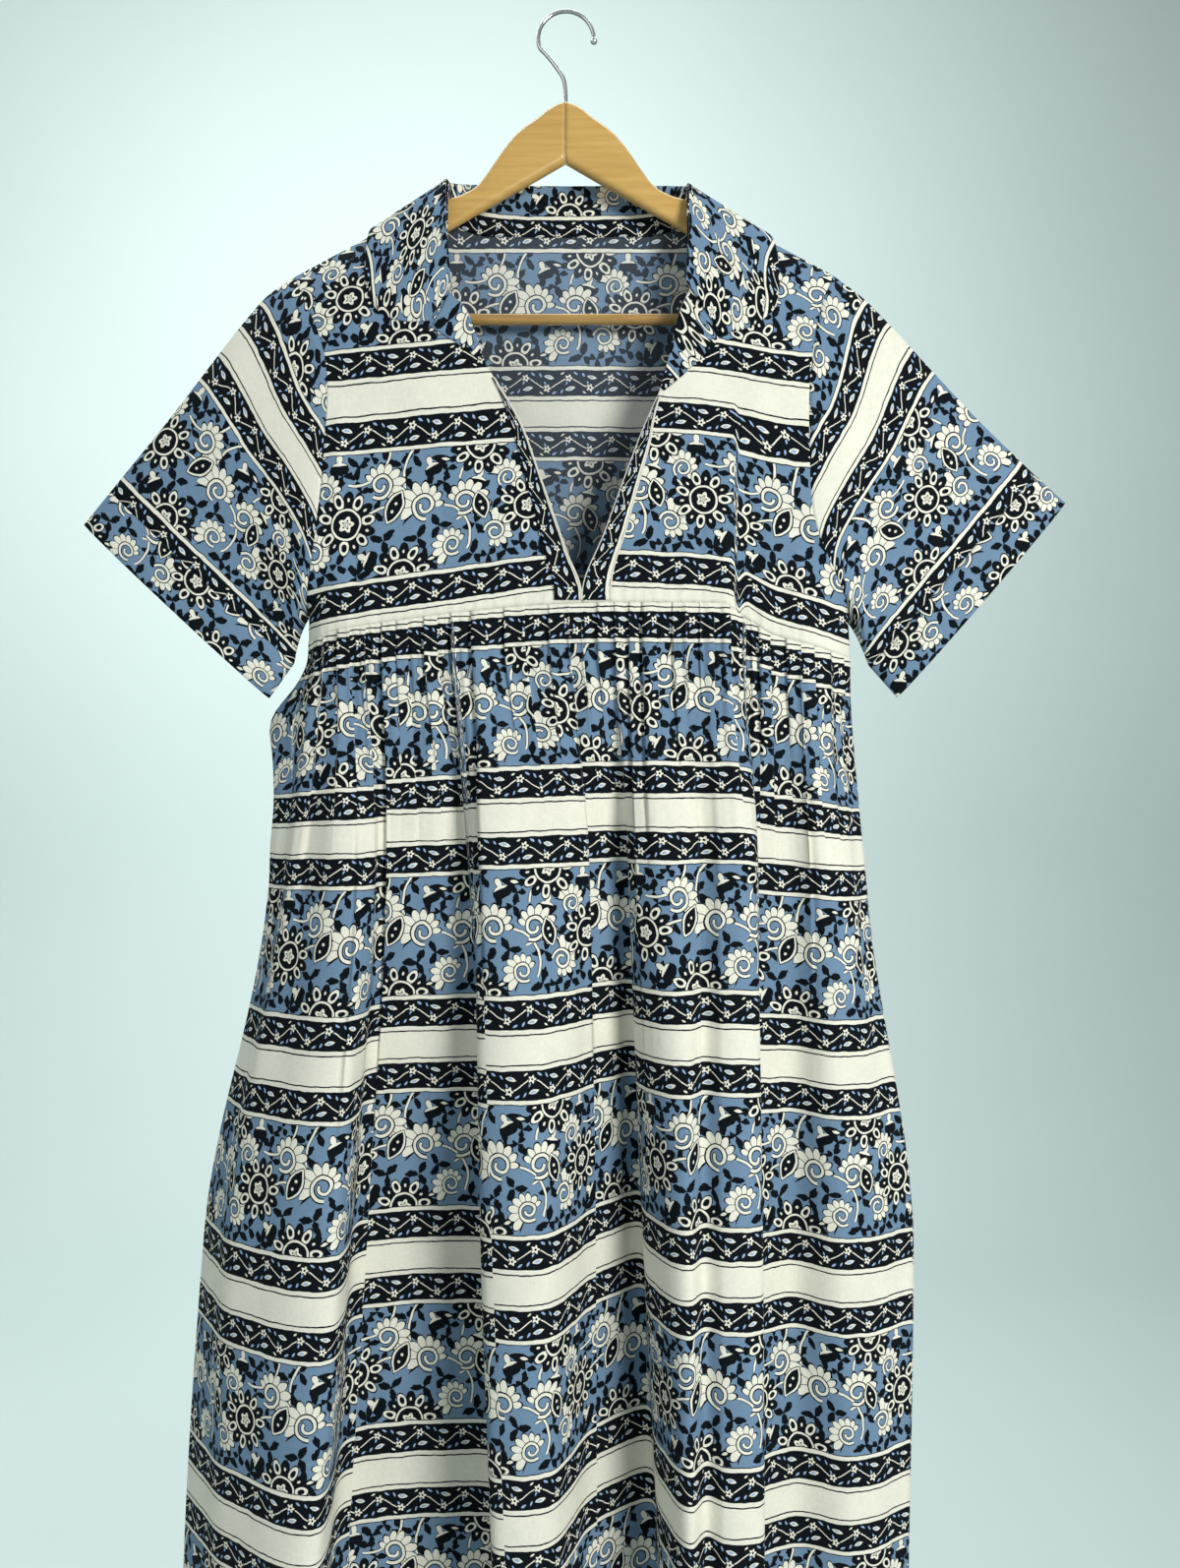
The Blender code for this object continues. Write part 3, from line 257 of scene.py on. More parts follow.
# Hanger bar. A round stick of darker wood under gloss varnish, let into a blind hole in
# each arm. Turned on a lathe, so its grain runs along it.
BAR_Z, BAR_RADIUS, BAR_HALF = -242.8, 4.5, 203.5
BAR_COLOURS = [(0.0, (0.24, 0.12, 0.03)), (0.6, (0.42, 0.25, 0.07)), (1.0, (0.60, 0.40, 0.13))]
bar_points = []
for k in range(81):
    x = -BAR_HALF + 2 * BAR_HALF * k / 80
    uneven = 1 - 0.02 * (0.5 + 0.5 * math.sin(k * 0.9))
    for j in range(28):
        a = 2 * math.pi * j / 28
        r = BAR_RADIUS * uneven
        bar_points.append((x * MM, r * math.cos(a) * MM, (BAR_Z + r * math.sin(a)) * MM))
add_piece("bar", bar_points, tube_faces(81, 28, False),
          [wood("brown_wood_bar", 0, BAR_COLOURS, 0.22, 0.8)], ["hanger_bar"])


# Hook. One chromed steel wire, screwed up through the joint of the arms, bent to the
# left and over, with a small ball pressed on its tip.
WIRE_RADIUS, HOOK_RADIUS, BALL_RADIUS = 1.6, 22, 2.7
HOOK_AROUND = 20
HOOK_LEAD = [(0, -100), (0, -80), (0, -62), (-1.4, -52.5), (-7.5, -42.5), (-15.5, -32.5)]


def parts_of(tree, vector):
    node = tree.nodes.new("ShaderNodeSeparateXYZ")
    tree.links.new(vector, node.inputs[0])
    return Num(tree, node.outputs[0]), Num(tree, node.outputs[1])


def chromed():
    made, tree, shader = new_material("chromed_wire_painted_reflection", 0.12)
    place = tree.nodes.new("ShaderNodeTexCoord").outputs["Object"]
    smear = noise(tree, place, 420, 3)
    shader.inputs["Metallic"].default_value = 1.0
    # Painted reflection and shade: the metal's colour is dark along the wire's outline seen from the
    # front and bright down its front and back, and the smear noise shifts these bands.
    out = abs(parts_of(tree, place)[1]) * (1 / (WIRE_RADIUS * MM)) + smear * 0.4
    tint = ramp(tree, out, [(0.45, (0.07, 0.075, 0.08)), (0.85, (0.50, 0.51, 0.53)),
                            (1.0, (0.86, 0.86, 0.87))])
    tree.links.new(tint, shader.inputs["Base Color"])
    put(tree, smear * 0.16 + 0.04, shader.inputs["Roughness"])
    bump(tree, shader, smear, 0.05, 0.0001)
    return made


def hook_path():
    centre = np.array((0.4, WIRE_RADIUS - HOOK_RADIUS))
    angles = np.radians(np.linspace(196, 2, 45))
    bend = centre + HOOK_RADIUS * np.stack([np.cos(angles), np.sin(angles)], 1)
    lead = np.array(HOOK_LEAD + [tuple(bend[0]), tuple(bend[2])])
    steps = np.linalg.norm(np.diff(lead, axis=0), axis=1)
    first = curve(lead, np.linspace(0, steps[:-1].sum() / steps.sum(), 40))[:-1]
    return np.concatenate([first, bend])


def hook_piece():
    path = hook_path()
    radii = [WIRE_RADIUS] * len(path)
    tip, down = path[-1], np.array((0.05, -1.0))
    ball, ball_radii = [], []
    for angle in np.radians(np.linspace(143, 8, 12)):
        ball.append(tip + down * BALL_RADIUS * (0.9 + math.cos(angle)))
        ball_radii.append(BALL_RADIUS * math.sin(angle))
    order = np.argsort([(p - tip) @ down for p in ball])
    path = np.concatenate([path, np.array(ball)[order]])
    radii += [ball_radii[k] for k in order]
    points = round_along(path, radii, [0] * len(path), HOOK_AROUND)
    add_piece("wire_hook", points, tube_faces(len(path), HOOK_AROUND, False), [chromed()],
              ["hook"])


hook_piece()


# Bodice back. One panel of block-printed cotton with its stripes level, cut to the high
# waist. Its wrong side, with the print showing through paler, is seen in the neck.
CLOTH = 0.8
CREAM, NAVY, BLUE = (0.79, 0.78, 0.68), (0.003, 0.0055, 0.0085), (0.158, 0.255, 0.38)
SKY = (0.30, 0.44, 0.68)
BLUE_END, REPEAT, ACROSS = 86.0, 160.0, 132.0
BORDERS = [
    # where each band of the print ends, up the cloth from the blue band's top, and its ink
    (86.7, "navy"), (89.4, "cream"), (109.0, "vine"), (112.0, "cream"), (113.0, "navy"),
    (132.4, "cream"), (133.4, "navy"), (136.4, "cream"), (156.4, "vine"), (159.3, "cream"),
    (160.0, "navy"),
]
ROSETTES = [(0, 0), (58, 86), (92, 39), (-40, 39), (132, 0), (-74, 86)]
SCROLLS = [
    # x, y, turn in degrees, mirrored, size
    (17, 46, 170, 1, 1.36), (46, 46, 10, -1, 1.32), (68, 22, 60, 1, 1.12), (37, 16, 200, 1, 1.05),
    (117, 63, 20, -1, 1.32), (-15, 63, 20, -1, 1.32), (77, 61, 120, 1, 1.0),
]
LILIES = [(22, 74, 25), (57, 62, -15), (106, 14, 60), (87, 80, 0), (-26, 14, 60)]
DOTTED_LEAVES = [(127, 47, 62, 11.0), (-5, 47, 62, 11.0), (58, 42, 105, 9.5)]
STEMS = [
    # centre x, y and radius of an arc, then the direction it lies in and how much of it
    (36, 66, 34, -0.95, 0.3, 0.72), (26, 22, 24, 0.9, 0.45, 0.62), (56, 8, 30, 0.2, 0.97, 0.72),
    (96, 66, 26, -0.3, -0.95, 0.75), (60, 62, 17, -0.4, 0.9, 0.45), (122, 22, 26, -0.6, 0.8, 0.62),
    (100, 88, 24, 0.6, -0.8, 0.6),
]
NAVY_BUDS = [(82, 66, 59, 9.5), (103, 12, 249, 9.0), (24, 9, 20, 8.0), (30, 78, 170, 8.5)]
NAVY_LEAVES = [
    # x, y, turn in degrees, size
    (90, 71, 60, 1.15), (99, 3, 60, 1.1), (17, 6, 150, 1.1), (41, 79, 30, 1.1), (3, 66, 10, 1.1),
    (-1, 78, 80, 1.15), (101, 77, 200, 1.1), (110, 83, 20, 0.9), (31, 61, 120, 1.0),
    (27, 31, 60, 1.0), (52, 7, 20, 1.15), (63, 5, 100, 1.0), (76, 7, 40, 1.15), (86, 12, 10, 1.0),
    (54, 29, 10, 1.0), (73, 46, 160, 1.0), (103, 60, 60, 0.9), (122, 79, 45, 1.1),
    (-12, 80, 45, 1.1), (119, 25, 100, 1.1), (-13, 25, 100, 1.1), (12, 24, 0, 1.1),
    (34, 70, 70, 0.9), (73, 73, 20, 0.9), (22, 60, 40, 1.0), (58, 54, 100, 0.9), (9, 82, 0, 1.0),
    (112, 7, 30, 1.0), (113, 45, 10, 0.9), (-19, 45, 10, 0.9),
]


def vector_op(tree, operation, first, second=None, out="Vector", scale=None):
    node = tree.nodes.new("ShaderNodeVectorMath")
    node.operation = operation
    put(tree, first, node.inputs[0])
    if second is not None:
        put(tree, second, node.inputs[1])
    if scale is not None:
        put(tree, scale, node.inputs["Scale"])
    return node.outputs[out]


def joined(tree, x, y):
    node = tree.nodes.new("ShaderNodeCombineXYZ")
    put(tree, x, node.inputs[0])
    put(tree, y, node.inputs[1])
    return node.outputs[0]


def over(below, region, ink):
    """Lays one ink over the print so far, where region is 1."""
    tree = region.tree
    node = tree.nodes.new("ShaderNodeMix")
    for value, place in zip((region, below, ink), (node.inputs[0], node.inputs[2], node.inputs[3])):
        put(tree, value, place)
    return Num(tree, node.outputs[0])


def chosen(tree, test, first, second):
    """second where test is 1, otherwise first, for two vectors."""
    node = tree.nodes.new("ShaderNodeMix")
    node.data_type = "VECTOR"
    put(tree, test, node.inputs[0])
    put(tree, first, node.inputs[4])
    put(tree, second, node.inputs[5])
    return node.outputs[1]


def lens(tree, place, x, y, turn, length, width):
    """Below 1 inside a pointed leaf."""
    a = math.radians(turn)
    away = vector_op(tree, "SUBTRACT", place, (x, y, 0))
    long = Num(tree, vector_op(tree, "DOT_PRODUCT", away,
                               (math.cos(a) / length, math.sin(a) / length, 0), "Value"))
    wide = Num(tree, vector_op(tree, "DOT_PRODUCT", away,
                               (-math.sin(a) / width, math.cos(a) / width, 0), "Value"))
    return long * long + abs(wide)


def turned_nearest(tree, place, rows):
    """Distance and place within the nearest figure. Each row is x, y, turn, mirrored, size."""
    nearest, best = None, None
    for x, y, turn, mirrored, size in rows:
        away = vector_op(tree, "MULTIPLY_ADD", place, (1 / size, mirrored / size, 0))
        away.node.inputs[2].default_value = (-x / size, -y * mirrored / size, 0)
        long = Num(tree, vector_op(tree, "LENGTH", away, None, "Value"))
        if turn:
            node = tree.nodes.new("ShaderNodeVectorRotate")
            node.rotation_type = "Z_AXIS"
            tree.links.new(away, node.inputs["Vector"])
            node.inputs["Angle"].default_value = -math.radians(turn)
            away = node.outputs[0]
        if nearest is None:
            nearest, best = long, away
        else:
            best = chosen(tree, long < nearest, best, away)
            nearest = nearest.op("MINIMUM", long)
    return nearest, *parts_of(tree, best)


def block_print(name, shown=1.0):
    """Inks: 0 blue, 1 cream, 2 navy, 3 sky blue. shown is how much of the print comes
    through, 1 on the right side and less on the wrong side."""
    made, tree, shader = new_material(name, 0.86)
    shader.inputs["Specular IOR Level"].default_value = 0.1
    uv = tree.nodes.new("ShaderNodeUVMap")
    uv.uv_map = "cloth"
    flat = vector_op(tree, "SCALE", uv.outputs["UV"], scale=1000.0)
    shake = tree.nodes.new("ShaderNodeTexNoise")
    shake.inputs["Scale"].default_value = 0.09
    shake.inputs["Detail"].default_value = 2
    tree.links.new(flat, shake.inputs["Vector"])
    moved = vector_op(tree, "MULTIPLY_ADD", shake.outputs["Color"], (2.2, 2.2, 0))
    tree.links.new(flat, moved.node.inputs[2])
    u, v = parts_of(tree, moved)
    u = u.op("FLOORED_MODULO", ACROSS)
    v = v.op("FLOORED_MODULO", REPEAT)
    place = joined(tree, u, v)

    # navy leaves in threes, and navy buds with a cream drop
    ink = u * 0.0
    nearest, x, y = turned_nearest(tree, place, [(*row[:3], 1, row[3]) for row in NAVY_LEAVES])
    third = (y.op("ARCTAN2", x) * (1.5 / math.pi)).op("FRACT").op("SUBTRACT", 0.5)
    third = third * (math.pi / 1.5)
    along = nearest * third.op("COSINE") * (1 / 5.2) - 0.95
    across = abs(nearest * third.op("SINE")) * (1 / 2.5)
    ragged = noise(tree, flat, 0.3, 1) * 1.1
    ink = over(ink, (along * along + across) < (ragged + 0.42), 2.0)
    for x, y, turn, length in NAVY_BUDS:
        bud = lens(tree, place, x, y, turn, length, length * 0.34)
        ink = over(ink, bud < 1.0, 2.0)
        a = math.radians(turn)
        drop = lens(tree, place, x - math.cos(a) * length * 0.3, y - math.sin(a) * length * 0.3,
                    turn, length * 0.36, length * 0.13)
        ink = over(ink, drop < 1.0, 1.0)

    # stems
    nearest = None
    for x, y, radius, dx, dy, share in STEMS:
        away = vector_op(tree, "SUBTRACT", place, (x, y, 0))
        long = Num(tree, vector_op(tree, "LENGTH", away, None, "Value"))
        off = abs(long - radius)
        facing = Num(tree, vector_op(tree, "DOT_PRODUCT", away, (dx, dy, 0), "Value"))
        off = (facing < radius * share).op("MULTIPLY_ADD", 50.0, off)
        nearest = off if nearest is None else nearest.op("MINIMUM", off)
    ink = over(ink, nearest < 1.3, 2.0)
    ink = over(ink, nearest < 0.8, 1.0)

    # lilies: three cream petals in a navy calyx
    nearest, x, y = turned_nearest(tree, place, [(*row, 1, 1) for row in LILIES])
    angle = y.op("ARCTAN2", x)
    lobes = (angle * 3.0 + 1.57).op("COSINE")
    lower = nearest - lobes * 2.4
    ink = over(ink, (nearest + y * 0.55 - lobes * 1.2) < 4.6, 2.0)
    ink = over(ink, (lower < 5.0) * (y > -1.8), 2.0)
    ink = over(ink, (lower < 4.2) * (y > -1.2), 1.0)

    # scroll flowers: a curl of stem with cream petals along its outer side
    nearest, x, y = turned_nearest(tree, place, SCROLLS)
    t = y.op("ARCTAN2", x).op("MULTIPLY_ADD", 1 / (2 * math.pi), 0.5)
    reach = t.op("MULTIPLY_ADD", 10.5, 9.2)
    ring = t.op("MULTIPLY_ADD", 3.6, 4.0)
    petal = abs((t * 13.0).op("FRACT") - 0.5)
    rim = reach * (petal * petal * -1.1 + 1.0)
    ink = over(ink, (nearest < (rim + 1.0)) * (t < 0.63), 2.0)
    line = (petal * nearest).op("LESS_THAN", nearest * 0.5 - 0.36)
    ink = over(ink, (nearest < rim) * (t < 0.615) * line, 1.0)
    for more, colour in ((1.5, 2.0), (0.8, 1.0), (-0.8, 2.0), (-1.5, 0.0)):
        ink = over(ink, (nearest < (ring + more)) * (t < 0.8), colour)
    curl = abs(nearest - t * 3.6 - 0.4)
    ink = over(ink, (curl < 1.3) * (t > 0.42), 2.0)
    ink = over(ink, (curl < 0.75) * (t > 0.45), 1.0)

    # navy leaves with a cream rim and two dots
    for x, y, turn, length in DOTTED_LEAVES:
        here = lens(tree, place, x, y, turn, length, length * 0.48)
        ink = over(ink, here < 1.42, 2.0)
        ink = over(ink, here < 1.24, 1.0)
        ink = over(ink, here < 0.94, 2.0)
        for share in (-0.3, 0.22):
            a = math.radians(turn)
            dot = (x + math.cos(a) * length * share, y + math.sin(a) * length * share, 0)
            away = vector_op(tree, "DISTANCE", place, dot, "Value")
            ink = over(ink, Num(tree, away) < 1.1, 1.0)

    # rosettes: a navy middle, a cream ring and looped petals
    nearest, x, y = turned_nearest(tree, place, [(*row, 0, 1, 1.08) for row in ROSETTES])
    angle = y.op("ARCTAN2", x)
    place_round = angle * (14 / (2 * math.pi)) + 14.25
    every_other = (place_round * 0.5).op("FRACT") < 0.5
    slice_ = place_round.op("FRACT") - 0.5
    side = slice_ * nearest * (2 * math.pi / 14 / 3.0)
    out = (nearest - 14.6) * (1 / 4.8)
    petal = (side * side + out * out).op("SQRT")
    ink = over(ink, petal < 1.2, 2.0)
    ink = over(ink, (petal < 0.98) * every_other, 1.0)
    ink = over(ink, petal < 0.54, 2.0)
    ink = over(ink, (petal < 0.26) * (every_other < 0.5), 1.0)
    flower = nearest - (angle * 5.0).op("COSINE") * 0.9
    for limit, colour in ((10.4, 2.0), (9.7, 1.0), (8.4, 2.0)):
        ink = over(ink, nearest < limit, colour)
    for limit, colour in ((4.2, 1.0), (2.1, 2.0), (1.2, 1.0)):
        ink = over(ink, flower < limit, colour)

    # the narrow bands: lines, white, and navy with a vine
    turn_at = u * (2 * math.pi / 33)
    wave = turn_at.op("SINE")
    upper = v.op("SUBTRACT", 99.2)
    lower = v.op("SUBTRACT", 146.4)
    height = over(upper, v > 120.0, lower)
    stem = abs(height - wave * 3.9) * 0.86
    vine = over(nearest * 0.0 + 2.0, stem < 0.38, 1.0)
    way = wave.op("SIGN")
    local_x = (u * (1 / 16.5)).op("FRACT") * 16.5 - 8.25
    local = joined(tree, local_x, height * way)
    for x, y, turn, length, colour in ((1.5, -4.3, 14, 4.0, 1.0), (-5.2, -6.0, 60, 1.9, 3.0),
                                       (5.6, 7.2, 150, 2.1, 3.0), (-4.6, 7.4, 30, 1.7, 1.0),
                                       (1.0, -4.5, 14, 2.3, 3.0), (-1.6, 0.4, 70, 1.8, 3.0)):
        vine = over(vine, lens(tree, local, x, y, turn, length, length * 0.38) < 1.0, colour)
    away = vector_op(tree, "SUBTRACT", local, (0, 3.9, 0))
    long = Num(tree, vector_op(tree, "LENGTH", away, None, "Value"))
    x, y = parts_of(tree, away)
    flower = long - (y.op("ARCTAN2", x) * 5.0).op("COSINE") * 0.7
    vine = over(vine, flower < 3.3, 2.0)
    vine = over(vine, flower < 2.3, 1.0)
    vine = over(vine, long < 0.8, 2.0)
    start = BLUE_END
    for end, kind in BORDERS:
        value = {"navy": 2.0, "cream": 1.0, "vine": vine}[kind]
        ink = over(ink, v > start, value)
        start = end

    colour = ramp(tree, ink * 0.25 + 0.05, [(0.0, BLUE), (0.25, CREAM), (0.5, NAVY), (0.75, SKY)],
                  constant=True)
    worn = noise(tree, flat, 0.35, 3)
    blotch = noise(tree, flat, 0.035, 2)
    weave_u = noise(tree, stretched(tree, flat, (0.12, 2.6, 1)), 1.0, 1)
    weave_v = noise(tree, stretched(tree, flat, (2.6, 0.12, 1)), 1.0, 1)
    threads = weave_u + weave_v
    shade = (threads - 1.0) * 0.16 + (worn - 0.5) * 0.16 + (blotch - 0.5) * 0.16 + 1.0
    cloth = vector_op(tree, "SCALE", colour, scale=shade)
    if shown < 1:
        fade = tree.nodes.new("ShaderNodeMix")
        fade.data_type = "RGBA"
        fade.inputs[0].default_value = shown
        fade.inputs[6].default_value = (0.27, 0.33, 0.42, 1)
        tree.links.new(cloth, fade.inputs[7])
        cloth = fade.outputs[2]
    tree.links.new(cloth, shader.inputs["Base Color"])
    put(tree, threads * 0.06 + 0.78, shader.inputs["Roughness"])
    bump(tree, shader, threads, 0.35, 0.00025)
    return made


RIGHT_SIDE = block_print("printed_cotton_right_side")
WRONG_SIDE = block_print("printed_cotton_wrong_side", 0.84)

SHOULDER_TOP, SHOULDER_SLOPE, NECK_HALF = -144, 0.5388, 92
FRONT_DEPTH, FRONT_REACH, BACK_DEPTH, BACK_REACH = 38, 250, 18, 60
SIDE_REACH_FRONT, SIDE_REACH_BACK = 45, 30
CENTRE_FRONT = 13.2
WAIST_SEAM = [
    (-203, -500), (-178, -494), (-131, -487), (-78, -480), (0, -473.6),
    (34, -472.6), (118, -473), (140, -484), (160, -496), (190, -504), (226, -512),
]
ARMHOLE = {
    "left": [(-214.5, -210), (-201, -238), (-187, -272), (-184, -362),
             (-189, -413), (-194.5, -449), (-202.5, -476)],
    "right": [(212, -208.7), (199, -240), (189.5, -288), (187.5, -360),
              (191, -404), (209, -450), (224, -480)],
}
SIDE_SEAM = {"left": [(-202.5, -476), (-203, -500)], "right": [(224, -480), (226, -512)]}
ARMHOLE_SHARE = {"left": 0.92, "right": 0.895}
BACK_NECK = [(-95, -145.6), (-91, -160), (-78, -167.5), (-40, -170.5), (1.5, -171.2),
             (43, -170.5), (81, -168), (94, -161), (98, -147.2)]
BACK_SHOULDER_SHARE = 0.27
SEAM_GAP, ON_BODICE = 0.3, 0.955
# Row of the back by which its creases have faded to a fifth
FADED_ROW = 68
BACK_CREASES = [
    # x and z of the two ends, half width and height; below 0 it goes in
    (-150, -230, -120, -430, 10, -1.6), (140, -235, 118, -440, 11, -1.6),
    (-60, -260, -40, -460, 13, 1.3), (55, -250, 60, -455, 14, 1.4), (0, -210, 6, -330, 12, -1.0),
]


def value_at(stations, values, at):
    """Reads a short table smoothly, with level ends between its rows."""
    if at <= stations[0]:
        return values[0]
    if at >= stations[-1]:
        return values[-1]
    k = 0
    while stations[k + 1] < at:
        k += 1

    def slope(j):
        if j == 0 or j == len(stations) - 1:
            return 0.0
        left = (values[j] - values[j - 1]) / (stations[j] - stations[j - 1])
        right = (values[j + 1] - values[j]) / (stations[j + 1] - stations[j])
        return 0.0 if left * right <= 0 else 2 * left * right / (left + right)

    span = stations[k + 1] - stations[k]
    t = (at - stations[k]) / span
    return (values[k] * (2 * t**3 - 3 * t**2 + 1) + slope(k) * span * (t**3 - 2 * t**2 + t)
            + values[k + 1] * (3 * t**2 - 2 * t**3) + slope(k + 1) * span * (t**3 - t**2))


def smoothstep(value):
    t = min(max(value, 0.0), 1.0)
    return t * t * (3 - 2 * t)


def quarter_round(distance, reach):
    t = min(max(distance / reach, 0.0), 1.0)
    return math.sqrt(1 - (1 - t) ** 2)


def shoulder_z(x):
    return SHOULDER_TOP - max(abs(x) - NECK_HALF, 0.0) * SHOULDER_SLOPE


def waist_z(x):
    return value_at([p[0] for p in WAIST_SEAM], [p[1] for p in WAIST_SEAM], x)


def from_side_seam(x, z):
    (x1, z1), (x2, z2) = SIDE_SEAM["left" if x < CENTRE_FRONT else "right"]
    t = ((x - x1) * (x2 - x1) + (z - z1) * (z2 - z1)) / ((x2 - x1) ** 2 + (z2 - z1) ** 2)
    t = min(max(t, 0.0), 1.0)
    return math.hypot(x - x1 - t * (x2 - x1), z - z1 - t * (z2 - z1))


def crease(table, x, z):
    """How far the creases lift the cloth at a place, with soft sides and ends."""
    total = 0.0
    for x1, z1, x2, z2, half, height in table:
        dx, dz = x2 - x1, z2 - z1
        t = ((x - x1) * dx + (z - z1) * dz) / (dx * dx + dz * dz)
        if -0.15 < t < 1.15:
            away = ((x - x1) * dz - (z - z1) * dx) / math.hypot(dx, dz) / half
            if abs(away) < 3:
                ends = smoothstep((t + 0.15) / 0.3) * smoothstep((1.15 - t) / 0.3)
                total += height * ends * math.exp(-away * away)
    return total


def back_y(x, z):
    depth = BACK_DEPTH * quarter_round(shoulder_z(x) - z, BACK_REACH)
    return depth * quarter_round(from_side_seam(x, z), SIDE_REACH_BACK)


def armhole_point(side, share):
    return curve(ARMHOLE[side], share)[0]


def bodice_side(side, share):
    split = ARMHOLE_SHARE[side]
    if share <= split:
        return armhole_point(side, share / split)
    start, end = np.array(SIDE_SEAM[side][0]), np.array(SIDE_SEAM[side][1])
    return start + (end - start) * (share - split) / (1 - split)


def patch(lefts, rights, tops, bottoms, shares_across, shares_down):
    """A grid of x and z between four edges, each given at the grid's own places."""
    u, v = np.asarray(shares_across)[None, :, None], np.asarray(shares_down)[:, None, None]
    sides = lefts[:, None] * (1 - u) + rights[:, None] * u
    ends = tops[None] * (1 - v) + bottoms[None] * v
    top = tops[0] * (1 - u) + tops[-1] * u
    low = bottoms[0] * (1 - u) + bottoms[-1] * u
    return sides + ends - (top * (1 - v) + low * v)


def cloth_piece(name, grid, cloth_uv, nodes, inward, thickness=CLOTH, wrap=False):
    """A thin wall with its right side at the grid's points, in millimetres, and its
    wrong side within. inward says which way that is for the middle of the grid."""
    count, width = grid.shape[:2]
    if wrap:
        before, after = np.roll(grid, 1, 1), np.roll(grid, -1, 1)
    else:
        before = np.concatenate([grid[:, :1], grid[:, :-1]], 1)
        after = np.concatenate([grid[:, 1:], grid[:, -1:]], 1)
    above = np.concatenate([grid[:1], grid[:-1]], 0)
    below = np.concatenate([grid[1:], grid[-1:]], 0)
    normal = np.cross(after - before, below - above)
    normal /= np.maximum(np.linalg.norm(normal, axis=2, keepdims=True), 1e-9)
    middle = normal[count // 2, width // 2 if not wrap else width // 4]
    turned = middle @ np.array(inward) > 0
    if turned:
        normal = -normal
    inner = grid - normal * thickness
    total = count * width
    points = np.concatenate([grid.reshape(-1, 3), inner.reshape(-1, 3)]) * MM
    r, c = np.meshgrid(np.arange(count - 1), np.arange(width if wrap else width - 1), indexing="ij")
    a = (r * width + c).ravel()
    b = (r * width + (c + 1) % width).ravel()
    outer = np.stack([a, b, b + width, a + width], 1)
    inside = np.stack([a, a + width, b + width, b], 1) + total
    edges = []
    cols = np.arange(width if wrap else width - 1)
    nxt = (cols + 1) % width
    for row, flip in ((0, False), (count - 1, True)):
        p, q = row * width + cols, row * width + nxt
        quad = np.stack([p, p + total, q + total, q], 1)
        edges.append(quad[:, ::-1] if flip else quad)
    if not wrap:
        rows = np.arange(count - 1)
        for col, flip in ((0, True), (width - 1, False)):
            p, q = rows * width + col, (rows + 1) * width + col
            quad = np.stack([p, p + total, q + total, q], 1)
            edges.append(quad[:, ::-1] if flip else quad)
    faces = np.concatenate([outer, inside] + edges)
    if not turned:
        faces = faces[:, ::-1]
    kinds = np.concatenate([np.zeros(len(outer)), np.ones(len(inside)),
                            np.zeros(sum(len(e) for e in edges))])
    uvs = np.concatenate([cloth_uv.reshape(-1, 2)] * 2) * MM
    return add_piece(name, points, faces.tolist(), [RIGHT_SIDE, WRONG_SIDE], nodes, kinds, uvs)


def spread(count, power=1.0):
    return np.linspace(0, 1, count) ** power


def laid_out(rows, columns, at):
    """A sheet's places and print places, both in mm. at gives x, y, z, u and v."""
    both = np.array([[at(r, c) for c in range(columns)] for r in range(rows)], float)
    return both[..., :3], both[..., 3:]


def bodice_back():
    down = np.concatenate([spread(9, 1.6) * 0.1, 0.1 + 0.9 * spread(60)[1:]])
    across = spread(111)
    lefts = np.array([bodice_side("left", v) for v in down])
    rights = np.array([bodice_side("right", v) for v in down])
    tops = []
    neck = BACK_SHOULDER_SHARE
    tips = {side: ARMHOLE[side][0][0] for side in ARMHOLE}
    for u in across:
        if u < neck:
            x = tips["left"] + (BACK_NECK[0][0] - tips["left"]) * u / neck
            tops.append((x, shoulder_z(x)))
        elif u > 1 - neck:
            x = tips["right"] - (tips["right"] - BACK_NECK[-1][0]) * (1 - u) / neck
            tops.append((x, shoulder_z(x)))
        else:
            tops.append(tuple(curve(BACK_NECK, (u - neck) / (1 - 2 * neck))[0]))
    waist_x = WAIST_SEAM[0][0] + (WAIST_SEAM[-1][0] - WAIST_SEAM[0][0]) * across
    bottoms = np.array([(x, waist_z(x) + SEAM_GAP) for x in waist_x])
    flat = patch(lefts, rights, np.array(tops), bottoms, across, down)
    rows, columns = flat.shape[:2]

    def at(r, c):
        x, z = flat[r, c]
        edge = min(1, min(c, columns - 1 - c) / 8) * min(1, r / 6)
        edge *= min(1, (FADED_ROW - r) / 6 + 0.2)
        y = back_y(x, z) + crease(BACK_CREASES, x, z) * edge
        return x, y + SEAM_GAP / 2, z, x * ON_BODICE + 38, (z + 272) * ON_BODICE

    grid, uvs = laid_out(rows, columns, at)
    made = cloth_piece("back", grid, uvs, ["bodice_back"], (0, -1, 0))


bodice_back()


# Bodice fronts. Two panels that meet on a slant at the waist. The right one has an
# upright tuck near its armhole, so its stripes step down there.
FRONT_NECK = {
    "left": [(-95, -145.6), (-95, -185), (-94.5, -215), (-90, -231), (-75.9, -246),
             (-68.2, -264), (-61.2, -287.5), (-52.1, -303.7), (-35.4, -332.2),
             (-17.3, -380.5), (1.5, -434), (13.0, -466.4), (13.05, -472.9)],
    "right": [(98, -147.2), (98.5, -185), (99, -213), (96.5, -229), (89.9, -243.6),
              (83, -269.4), (78.3, -292.8), (71.5, -313.5), (60.8, -338.2),
              (48.8, -369.3), (30.7, -419), (13.4, -466.4), (13.35, -472.9)],
}
TUCK_X, TUCK_WIDTH, TUCK_DEPTH, TUCK_TOP, TUCK_FADE = 131, 16, 9, -330, 110
TUCK_STEP, ABOVE_WAIST = 15, 39.4
